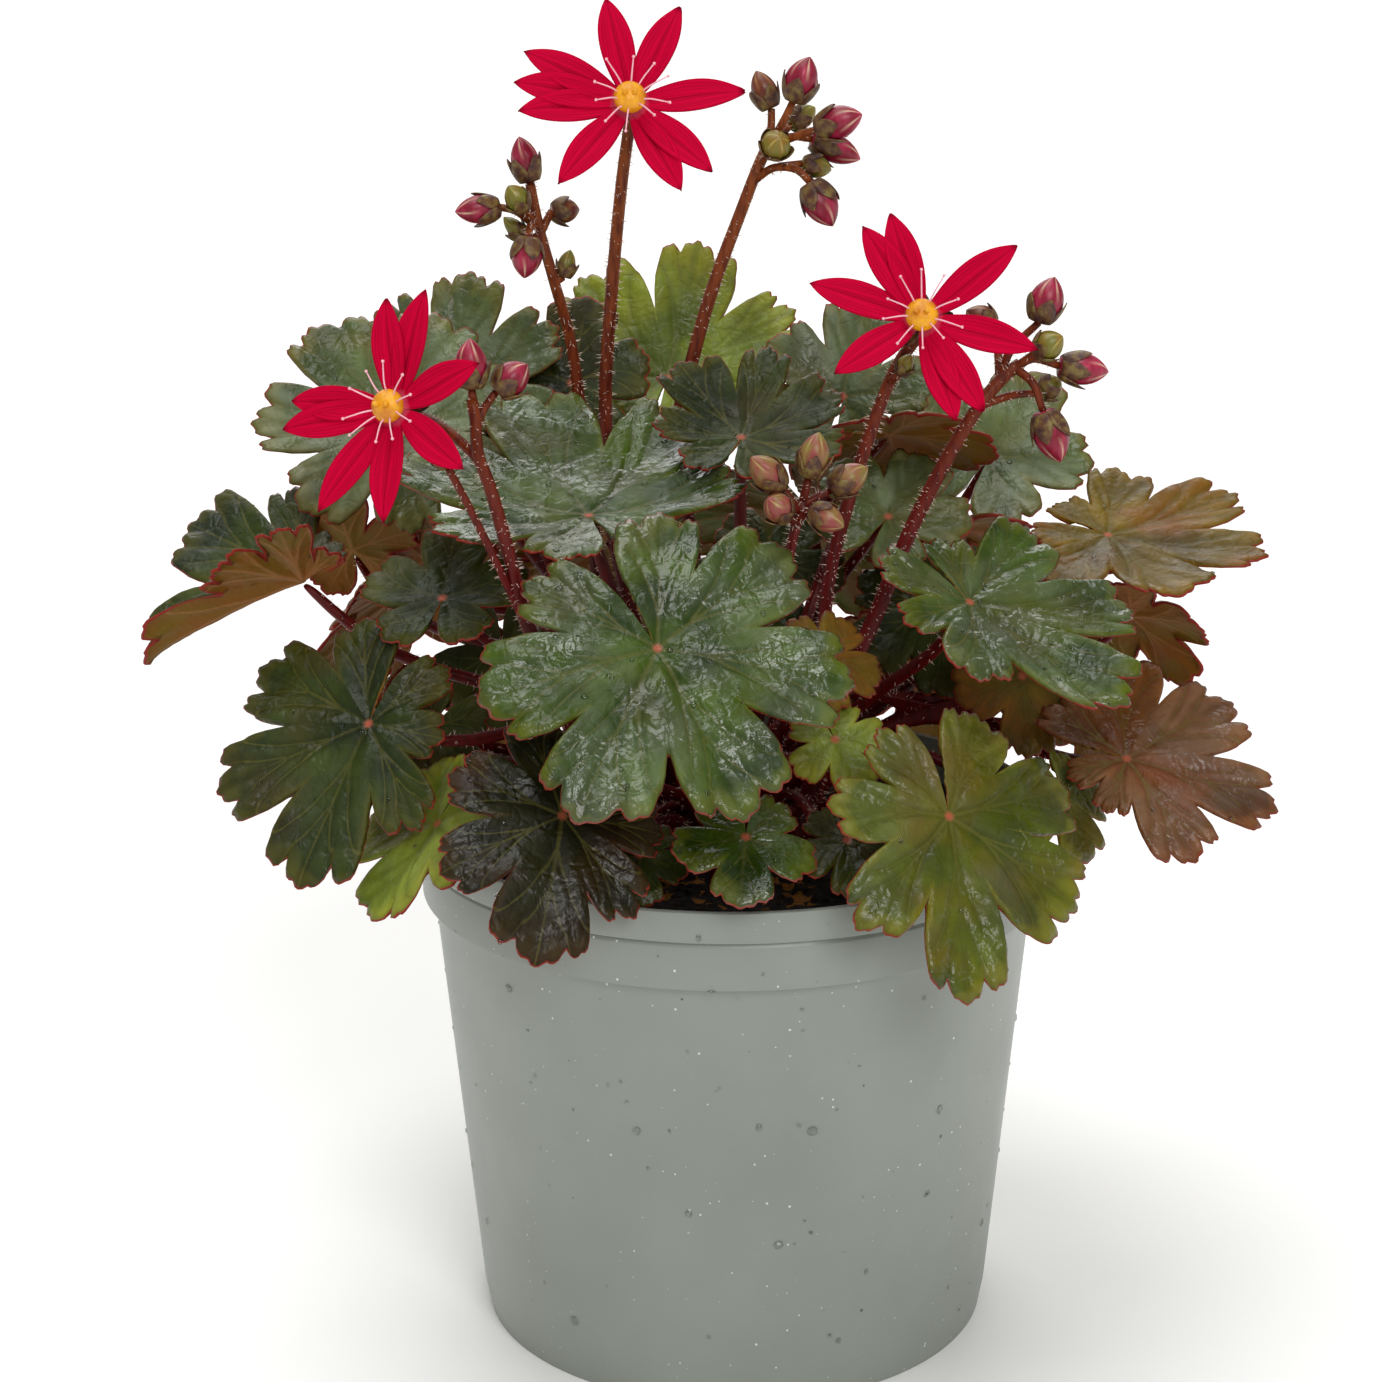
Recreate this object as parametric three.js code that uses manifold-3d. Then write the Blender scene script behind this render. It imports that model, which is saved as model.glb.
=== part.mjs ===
// A potted saxifrage: a moulded nursery pot filled with compost, a crown with its leaf stalks,
// lobed leaf blades, bud sprays and three star-shaped blooms.
// Millimetres, +Z up, origin at the middle of the pot's underside, front towards -Y.
import * as THREE from "three";
import { mergeVertices } from "three/addons/utils/BufferGeometryUtils.js";
import Module from "manifold-3d";

const wasm = await Module();
wasm.setup();

// Pot
const POT_HEIGHT = 110.4;
const RIM_RADIUS = 65.5;
const COLLAR_RADIUS = 65;
const LIP_BOTTOM = 104.1;
const COLLAR_BOTTOM = 94.5;
const WALL_TOP_RADIUS = 62.6;
const WALL_BOTTOM_RADIUS = 54.3;
const FOOT_RADIUS = 53.2;
const FOOT_HEIGHT = 5.9;
const WALL = 1.6;
const BASE = 2.6;
const BASE_RECESS = 1.2;
const PAD_RADIUS = 14;
const FOOT_RING_RADIUS = 47;
const DRAIN_HOLES = 8;
const DRAIN_RADIUS = 3.5;
const DRAIN_CIRCLE = 33;
const POT_FACETS = 26;

// Compost and crown
const FIT_GAP = 0.3;
const COMPOST_TOP = 104;
const COMPOST_EDGE = 102.5;
const COMPOST_LUMPS = 0.9;
const CROWN_RADIUS = 16;
const CROWN_DEPTH = 8;
const CROWN_DOME = 3;
const ROOT_SPREAD = 14;

// Leaves
const BLADE_THICKNESS = 0.9;
const BLADE_CLEARANCE = 1.7;
const PLEAT = 0.035;
const SINUS = 10;
const STALK_ROOT_RADIUS = 1.6;
const STALK_TIP_RADIUS = 1.2;
const STALK_SPACE = 0.4;
const STALK_STEP = 25;
const STALK_SIDES = { 7: 5, 5: 4 };
const STALK_CLEARANCE = 1.2;
const RIM_CLEARANCE = 1.6;

// Flower stalks, blooms and buds
const FLOWER_STALK_SIDES = 5;
const FLOWER_STALK_STEPS = 8;
const BRANCH_SIDES = 3;
const BRANCH_RADII = [0.9, 0.75];
const PEDICEL_RADII = [1, 1];
const PETAL_WIDTH = 7.4;
const PETAL_THICKNESS = 0.8;
const PETAL_RISE = 3;
const RECEPTACLE_RADIUS = 2.8;
const RECEPTACLE_HEIGHT = 1.6;
const OVARY_RADIUS = 3.2;
const STAMEN_COUNT = 10;
const STAMEN_LENGTH = 9;
const STAMEN_RADIUS = 0.4;
const FOOT_DEPTH = 7;

const materials = {
  pot: new THREE.MeshStandardMaterial({ color: 0x93a19a, roughness: 0.55 }),
  compost: new THREE.MeshStandardMaterial({ color: 0x1d1511, roughness: 0.95 }),
  crown: new THREE.MeshStandardMaterial({ color: 0x6e2420, roughness: 0.6 }),
  stalk: new THREE.MeshStandardMaterial({ color: 0x7d3428, roughness: 0.6 }),
  green: new THREE.MeshStandardMaterial({ color: 0x3f5a2c, roughness: 0.4 }),
  bronze: new THREE.MeshStandardMaterial({ color: 0x6f4a36, roughness: 0.45 }),
  petal: new THREE.MeshStandardMaterial({ color: 0xc41038, roughness: 0.5 }),
  centre: new THREE.MeshStandardMaterial({ color: 0xdca018, roughness: 0.5 }),
};

const degrees = THREE.MathUtils.degToRad;
const vector = (p) => new THREE.Vector3(...p);

// A repeatable random number between 0 and 1 for each seed
function seeded(seed) {
  let state = seed * 2654435761;
  return () => {
    state = (state + 0x6d2b79f5) | 0;
    let t = Math.imul(state ^ (state >>> 15), 1 | state);
    t = (t + Math.imul(t ^ (t >>> 7), 61 | t)) ^ t;
    return ((t ^ (t >>> 14)) >>> 0) / 4294967296;
  };
}

// Joining and cutting

function toSolid(geometry) {
  const bare = geometry.clone();
  bare.deleteAttribute("normal");
  bare.deleteAttribute("uv");
  const merged = mergeVertices(bare, 1e-4);
  return new wasm.Manifold(
    new wasm.Mesh({
      numProp: 3,
      vertProperties: merged.attributes.position.array,
      triVerts: new Uint32Array(merged.index.array),
    }),
  );
}

function toGeometry(solid) {
  const { vertProperties, triVerts } = solid.getMesh();
  const geometry = new THREE.BufferGeometry();
  geometry.setAttribute("position", new THREE.BufferAttribute(vertProperties, 3));
  geometry.setIndex(new THREE.BufferAttribute(triVerts, 1));
  geometry.computeVertexNormals();
  return geometry;
}

function joined(geometries) {
  return geometries.map(toSolid).reduce((whole, piece) => whole.add(piece));
}

function indexed(points, triangles) {
  const geometry = new THREE.BufferGeometry();
  geometry.setAttribute("position", new THREE.Float32BufferAttribute(points.flat(), 3));
  geometry.setIndex(triangles.flat());
  geometry.computeVertexNormals();
  return geometry;
}

const group = new THREE.Group();

function addNode(name, geometry, material) {
  const mesh = new THREE.Mesh(geometry, material);
  mesh.name = name;
  group.add(mesh);
  return mesh;
}

// A closed tube along a curve, whose radius goes evenly from one end to the other
function taperedTube(curve, startRadius, endRadius, sides, steps) {
  const frames = curve.computeFrenetFrames(steps, false);
  const points = [];
  for (let i = 0; i <= steps; i++) {
    const centre = curve.getPointAt(i / steps);
    const radius = THREE.MathUtils.lerp(startRadius, endRadius, i / steps);
    for (let j = 0; j < sides; j++) {
      const turn = (2 * Math.PI * j) / sides;
      const spot = centre
        .clone()
        .addScaledVector(frames.normals[i], radius * Math.cos(turn))
        .addScaledVector(frames.binormals[i], radius * Math.sin(turn));
      points.push(spot.toArray());
    }
  }
  const triangles = [];
  for (let i = 0; i < steps; i++) {
    for (let j = 0; j < sides; j++) {
      const a = i * sides + j;
      const b = i * sides + ((j + 1) % sides);
      triangles.push([a, b, b + sides], [a, b + sides, a + sides]);
    }
  }
  const last = steps * sides;
  for (let j = 1; j < sides - 1; j++) {
    triangles.push([0, j + 1, j], [last, last + j, last + j + 1]);
  }
  return indexed(points, triangles);
}

// Pot

function potGeometry() {
  const inner = (outer) => outer - WALL;
  const profile = [
    [0, 0],
    [PAD_RADIUS, 0],
    [PAD_RADIUS + 1.2, BASE_RECESS],
    [FOOT_RING_RADIUS - 1.2, BASE_RECESS],
    [FOOT_RING_RADIUS, 0],
    [FOOT_RADIUS, 0],
    [WALL_BOTTOM_RADIUS, FOOT_HEIGHT],
    [WALL_TOP_RADIUS, COLLAR_BOTTOM - 0.6],
    [COLLAR_RADIUS - 0.2, COLLAR_BOTTOM],
    [COLLAR_RADIUS, LIP_BOTTOM],
    [RIM_RADIUS, LIP_BOTTOM + 0.5],
    [RIM_RADIUS, POT_HEIGHT],
    [inner(RIM_RADIUS), POT_HEIGHT],
    [inner(COLLAR_RADIUS), COLLAR_BOTTOM + 2],
    [inner(WALL_TOP_RADIUS), COLLAR_BOTTOM - 2],
    [inner(WALL_BOTTOM_RADIUS), BASE],
    [0, BASE],
  ];
  const shell = new THREE.LatheGeometry(
    profile.map(([r, z]) => new THREE.Vector2(r, z)),
    POT_FACETS,
  ).rotateX(Math.PI / 2);
  let solid = toSolid(shell);
  for (let i = 0; i < DRAIN_HOLES; i++) {
    const turn = (2 * Math.PI * i) / DRAIN_HOLES;
    const drill = new THREE.CylinderGeometry(DRAIN_RADIUS, DRAIN_RADIUS, 4 * BASE, 6)
      .rotateX(Math.PI / 2)
      .translate(DRAIN_CIRCLE * Math.cos(turn), DRAIN_CIRCLE * Math.sin(turn), BASE / 2);
    solid = solid.subtract(toSolid(drill));
  }
  return toGeometry(solid);
}

addNode("pot", potGeometry(), materials.pot);

// Flower stalks, buds and blooms. A stalk stands upright at its foot in the compost and follows its
// route from there. A bud sits on the end of its branch and points to its tip.

const sprays = [
  {
    name: "bloom_stalk_top",
    foot: [-12, 18],
    route: [[-16, 20, 125], [-24.5, 19, 163], [-26, 18, 192], [-24, 13, 218], [-21.5, 8, 240]],
    radius: [1.7, 1.2],
    branches: [],
    bloom: 0,
  },
  {
    name: "spray_top_left",
    foot: [-22, 17],
    route: [
      [-27, 22, 140], [-30.5, 22, 180], [-33, 18, 205],
      [-36, 12, 219], [-38.5, 9, 230], [-40, 8, 238.5],
    ],
    radius: [1.8, 1],
    branches: [
      { route: [[-40, 8, 236], [-40, 8, 239]], tip: [-42, 8, 248], width: 5.6 },
      { route: [[-39, 9, 230], [-43, 6, 233.5], [-46, 4, 234.5]], tip: [-54.6, 1, 234], width: 5.6 },
      { route: [[-39, 9, 230], [-41, 4, 234]], tip: [-44, 2, 239], width: 4.8 },
      { route: [[-38, 9, 229], [-36, 11, 232.7]], tip: [-30.4, 13, 232.7], width: 5 },
      { route: [[-39, 9, 230], [-40, 4, 230.5], [-40, 1, 229]], tip: [-41, -1, 221], width: 6.2 },
      { route: [[-36, 12, 218], [-34, 13, 219]], tip: [-32.5, 14, 224.5], width: 3.6 },
      { route: [[-38, 10, 228], [-41, 8, 227.5]], tip: [-45.5, 8, 232], width: 3.4 },
    ],
  },
  {
    name: "spray_top_right",
    foot: [-6, 27],
    route: [
      [-13, 26, 135], [-15, 25, 170], [-13, 23, 180], [-4.5, 20, 213],
      [2, 18, 231], [6, 16, 241.5], [8, 14, 246],
    ],
    radius: [2, 1.2],
    branches: [
      { route: [[7, 15, 243], [8.5, 12, 244.5]], tip: [10, 8, 247.5], width: 6 },
      { route: [[7.5, 15, 244], [8.3, 18, 248], [8.4, 19, 252]], tip: [5.3, 20, 259.5], width: 5.2 },
      { route: [[8, 15, 245], [11, 14, 250.5], [12.7, 14, 254]], tip: [16, 13, 262.8], width: 6.6 },
      { route: [[8, 15, 245], [12.3, 19, 248.7]], tip: [17.3, 21.5, 252], width: 4.6 },
      { route: [[8, 14, 245], [13.4, 11, 247.4], [17.2, 9, 248.9]], tip: [26.2, 6, 252.1], width: 6.6 },
      { route: [[8, 15, 244], [12, 17, 246.5], [16.5, 18.5, 246]], tip: [26.5, 20, 241.6], width: 5.8 },
      {
        route: [[5, 17, 238], [9, 14, 240.8], [13.5, 12, 240.5], [16, 11, 238.2]],
        tip: [20.6, 9, 229.6], width: 7,
      },
      { route: [[10, 13.5, 241], [14.5, 14.5, 241.5]], tip: [20.5, 15.5, 240], width: 4.6 },
    ],
  },
  {
    name: "spray_left",
    foot: [-22, -15],
    route: [
      [-27, -23, 122], [-39.8, -36, 160], [-42.5, -38, 173], [-46, -40, 188],
      [-48, -40, 194], [-48.3, -39, 200], [-49, -38, 204],
    ],
    radius: [2, 1.1],
    branches: [
      { route: [[-48.6, -38, 202], [-49, -38, 206]], tip: [-49, -38, 215.5], width: 6.2 },
      {
        route: [[-48.2, -39.5, 197], [-47.3, -37, 201], [-44.5, -36, 205]],
        tip: [-38.4, -35, 210], width: 6.4,
      },
      {
        route: [[-34, -30, 142], [-44, -39, 170], [-51, -43, 187], [-53.5, -43, 192]],
        tip: [-56, -43, 195.5], width: 3,
      },
    ],
    pedicel: [[-48, -40, 193], [-53.4, -36, 197], [-58, -32, 199]],
    bloom: 1,
  },
  {
    name: "bloom_stalk_right",
    foot: [17, -7],
    route: [[18, -10, 130], [19, -12, 158], [20.5, -12, 167], [27, -9, 189], [33, -6, 204]],
    radius: [1.6, 1.2],
    branches: [{ route: [[31.5, -7, 201], [33.4, -9.2, 203]], tip: [35.5, -10, 207], width: 3.2 }],
    bloom: 2,
  },
  {
    name: "spray_right",
    foot: [13, -23],
    route: [
      [15, -22, 118], [20, -20, 136.7], [29, -17, 156.5], [37, -14, 175.5],
      [48.5, -12, 196.4], [54, -10, 202.6], [57, -9, 204.8],
    ],
    radius: [2, 1.3],
    branches: [
      { route: [[53, -10, 202], [55.2, -9, 207.5], [60.6, -9, 213]], tip: [63.5, -9, 222], width: 6.8 },
      { route: [[56, -9, 204], [60, -12, 207.7]], tip: [64.8, -14.5, 211.2], width: 5.6 },
      { route: [[56, -9, 204], [59.7, -8, 205.6], [65, -7, 204]], tip: [75, -6, 202.5], width: 6.4 },
      { route: [[49, -12, 197], [55.6, -9, 198.5], [61.7, -4, 198]], tip: [66, -2, 200.2], width: 5 },
      { route: [[56, -9, 204], [59.4, -12, 201.5], [61.4, -13, 196.2]], tip: [65, -14, 186], width: 7 },
      { route: [[53, -10, 202], [52.9, -6, 207], [52.3, -3, 211]], tip: [46.8, -2, 214.4], width: 5.8 },
    ],
  },
  {
    name: "spray_centre",
    foot: [-3, -25],
    route: [
      [0, -21, 125], [5, -20, 151.5], [7.6, -22, 160],
      [11, -25, 169], [12, -26, 174], [14, -27, 181.5],
    ],
    radius: [1.6, 1],
    branches: [
      { route: [[13, -27, 179], [11.4, -28, 182], [9.8, -29, 184.5]], tip: [3.8, -31, 191], width: 6 },
      { route: [[13.8, -27, 181], [15, -27, 186]], tip: [17, -27, 195], width: 6 },
      {
        route: [[13.8, -27, 180.5], [16.8, -26, 182], [19.2, -25, 183]],
        tip: [26.6, -24, 187.4], width: 6,
      },
      { route: [[12.6, -27, 177], [10.7, -31, 179.5]], tip: [7, -34, 183.6], width: 5.8 },
      { route: [[12.6, -27, 177.5], [15.4, -30, 180.3]], tip: [21.7, -33, 177.6], width: 5.4 },
    ],
  },
];

// Petal angles run anticlockwise from the bloom's right-hand side, seen from the front
const blooms = [
  {
    name: "top",
    centre: [-19.6, 0.6, 255],
    face: -88,
    tilt: 62,
    petals: [
      [3, 22.5], [62, 21.5], [102, 21.5], [154, 23], [171, 23], [186, 22], [231, 22.5],
      [297, 21.5], [316, 22],
    ],
  },
  {
    name: "left",
    centre: [-63.4, -38.2, 202.3],
    face: -112,
    tilt: 72,
    petals: [[28, 20], [78, 23], [99, 20.5], [181, 21], [195, 23], [239, 24.5], [274, 22], [328, 20]],
  },
  {
    name: "right",
    centre: [37.4, -13.2, 214.5],
    face: -95,
    tilt: 66,
    petals: [[38, 23], [108, 21.5], [124, 21.5], [164, 23], [215, 20.5], [289, 22], [303, 22.5], [344, 23.5]],
  },
];

// The frame of a flat thing: its normal leans by tilt from upright towards the compass angle face
function leaningFrame(face, tilt, at) {
  const a = degrees(face);
  const t = degrees(tilt);
  const normal = vector([Math.sin(t) * Math.cos(a), Math.sin(t) * Math.sin(a), Math.cos(t)]);
  const down = vector([Math.cos(t) * Math.cos(a), Math.cos(t) * Math.sin(a), -Math.sin(t)]);
  const side = new THREE.Vector3().crossVectors(normal, down);
  return { down, side, normal, origin: vector(at) };
}

function bloomFrame(bloom) {
  const { down, side, normal, origin } = leaningFrame(bloom.face, bloom.tilt, bloom.centre);
  return new THREE.Matrix4().makeBasis(side, down.negate(), normal).setPosition(origin);
}

// A bud: an ovoid of a few rings from its stalk end to its pointed tip, widest below the middle
function budGeometry(base, tip, width) {
  const length = base.distanceTo(tip);
  const rings = [[0, 0.35], [0.32, 1], [0.7, 0.78]];
  const profile = rings.map(([along, wide]) => new THREE.Vector2((wide * width) / 2, along * length));
  profile.unshift(new THREE.Vector2(0, 0));
  profile.push(new THREE.Vector2(0, length));
  const turn = new THREE.Quaternion().setFromUnitVectors(
    new THREE.Vector3(0, 1, 0),
    tip.clone().sub(base).normalize(),
  );
  return new THREE.LatheGeometry(profile, 5).applyQuaternion(turn).translate(...base.toArray());
}

// The five dark sepals behind a bloom, as a shallow star on the end of its stalk
function sepalGeometry(bloom) {
  const points = [[0, 0, -0.6], [0, 0, -2.2]];
  const triangles = [];
  const sides = 10;
  for (let i = 0; i < sides; i++) {
    const turn = (2 * Math.PI * i) / sides;
    const reach = i % 2 ? 2 : 5;
    const sink = i % 2 ? 1.6 : 2.4;
    points.push([reach * Math.cos(turn), reach * Math.sin(turn), -sink]);
    points.push([0.85 * reach * Math.cos(turn), 0.85 * reach * Math.sin(turn), -sink - 0.9]);
  }
  for (let i = 0; i < sides; i++) {
    const top = 2 + 2 * i;
    const next = 2 + 2 * ((i + 1) % sides);
    triangles.push([0, top, next], [1, next + 1, top + 1]);
    triangles.push([top, top + 1, next + 1], [top, next + 1, next]);
  }
  return indexed(points, triangles).applyMatrix4(bloomFrame(bloom));
}

// The stalk's line from its foot, or a bloom's own branch, on to the back of the bloom it carries
function stalkLine(route, bloom) {
  const points = route.map(vector);
  if (bloom) {
    const frame = bloomFrame(bloom);
    for (const behind of [-8, -1.5]) points.push(vector([0, 0, behind]).applyMatrix4(frame));
  }
  return new THREE.CatmullRomCurve3(points);
}

function sprayLines({ foot, route, radius, branches, pedicel, bloom }) {
  const carried = blooms[bloom];
  const upright = [FOOT_DEPTH, -3].map((depth) => [...foot, COMPOST_TOP - depth]);
  const lines = [{ curve: stalkLine([...upright, ...route], pedicel ? null : carried), radii: radius }];
  if (pedicel) lines.push({ curve: stalkLine(pedicel, carried), radii: PEDICEL_RADII });
  for (const { route } of branches) lines.push({ curve: stalkLine(route), radii: BRANCH_RADII });
  return lines;
}

function sprayGeometry(spray) {
  const pieces = sprayLines(spray).map(({ curve, radii }, i) => {
    if (i === 0) return taperedTube(curve, ...radii, FLOWER_STALK_SIDES, FLOWER_STALK_STEPS);
    return taperedTube(curve, ...radii, BRANCH_SIDES, curve.points.length - 1);
  });
  for (const { route, tip, width } of spray.branches) {
    pieces.push(budGeometry(vector(route.at(-1)), vector(tip), width));
  }
  if ("bloom" in spray) pieces.push(sepalGeometry(blooms[spray.bloom]));
  return toGeometry(joined(pieces));
}

for (const spray of sprays) addNode(spray.name, sprayGeometry(spray), materials.stalk);

// One petal: a pointed blade along +X that rises from the receptacle and bends back at the tip
function petalGeometry(angle, length) {
  const stations = [[0.07, 0.2], [0.42, 0.96], [0.74, 0.8]];
  const rise = (along) => PETAL_RISE * Math.sin(2.4 * along) * along + RECEPTACLE_HEIGHT / 2;
  const points = [];
  for (const side of [1, -1]) {
    const lift = (side * PETAL_THICKNESS) / 2;
    for (const [along, wide] of stations) {
      const half = (wide * PETAL_WIDTH) / 2;
      const height = rise(along) + lift;
      const cup = 0.5 * wide ** 2;
      points.push([along * length, -half, height + cup]);
      points.push([along * length, 0, height]);
      points.push([along * length, half, height + cup]);
    }
    points.push([length, 0, rise(1) + lift]);
  }
  const per = 3 * stations.length + 1;
  const triangles = [];
  const face = (a, b, c) => triangles.push([a, b, c], [a + per, c + per, b + per]);
  for (let i = 0; i < stations.length - 1; i++) {
    for (const j of [0, 1]) {
      const a = 3 * i + j;
      face(a, a + 3, a + 4);
      face(a, a + 4, a + 1);
    }
  }
  const end = 3 * (stations.length - 1);
  face(end, end + 3, end + 1);
  face(end + 1, end + 3, end + 2);
  const edge = [1, 0, 3, 6, 9, 8, 5, 2];
  edge.forEach((a, i) => {
    const b = edge[(i + 1) % edge.length];
    triangles.push([a, a + per, b + per], [a, b + per, b]);
  });
  return indexed(points, triangles).rotateZ(degrees(angle));
}

function petalsGeometry(bloom) {
  const receptacle = new THREE.CylinderGeometry(RECEPTACLE_RADIUS, RECEPTACLE_RADIUS, RECEPTACLE_HEIGHT, 8)
    .rotateX(Math.PI / 2)
    .translate(0, 0, RECEPTACLE_HEIGHT / 2);
  const petals = bloom.petals.map(([angle, length], i) =>
    petalGeometry(angle, length).translate(0, 0, -0.12 * (i % 2)),
  );
  return toGeometry(joined([receptacle, ...petals]));
}

// The domed yellow ovary with its two short beaks, and the stamens round it
function centreGeometry() {
  const foot = RECEPTACLE_HEIGHT + FIT_GAP;
  const dome = [[0, 0], [2.4, 0], [OVARY_RADIUS, 1.2], [0.8 * OVARY_RADIUS, 2.9], [0, 3.9]];
  const pieces = [
    new THREE.LatheGeometry(dome.map(([r, z]) => new THREE.Vector2(r, z)), 8)
      .rotateX(Math.PI / 2)
      .translate(0, 0, foot),
  ];
  for (const side of [-1, 1]) {
    const beak = new THREE.LineCurve3(vector([0.6 * side, 0, foot + 3]), vector([1.3 * side, 0, foot + 5]));
    pieces.push(taperedTube(beak, 0.7, 0.3, 3, 1));
  }
  for (let i = 0; i < STAMEN_COUNT; i++) {
    const turn = (2 * Math.PI * (i + 0.5)) / STAMEN_COUNT;
    const at = (out, up) => vector([out * Math.cos(turn), out * Math.sin(turn), foot + up]);
    const filament = new THREE.LineCurve3(at(1.6, 1.3), at(0.87 * STAMEN_LENGTH, 4.8));
    pieces.push(taperedTube(filament, STAMEN_RADIUS, 0.7 * STAMEN_RADIUS, 3, 1));
  }
  return toGeometry(joined(pieces));
}

for (const bloom of blooms) {
  const frame = bloomFrame(bloom);
  const petals = addNode("bloom_" + bloom.name, petalsGeometry(bloom), materials.petal);
  const centre = addNode("bloom_" + bloom.name + "_centre", centreGeometry(), materials.centre);
  for (const mesh of [petals, centre]) frame.decompose(mesh.position, mesh.quaternion, mesh.scale);
}

// Leaves. A row gives where the blade joins its stalk, the compass angle and lean of its upper side,
// the turn of its middle lobe from straight downhill, its reach, how far its rim rises or droops,
// the fold of its halves, its count of lobes, its colour, and its lobe lengths as shares of the reach
// where they aren't the usual ones.

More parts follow.
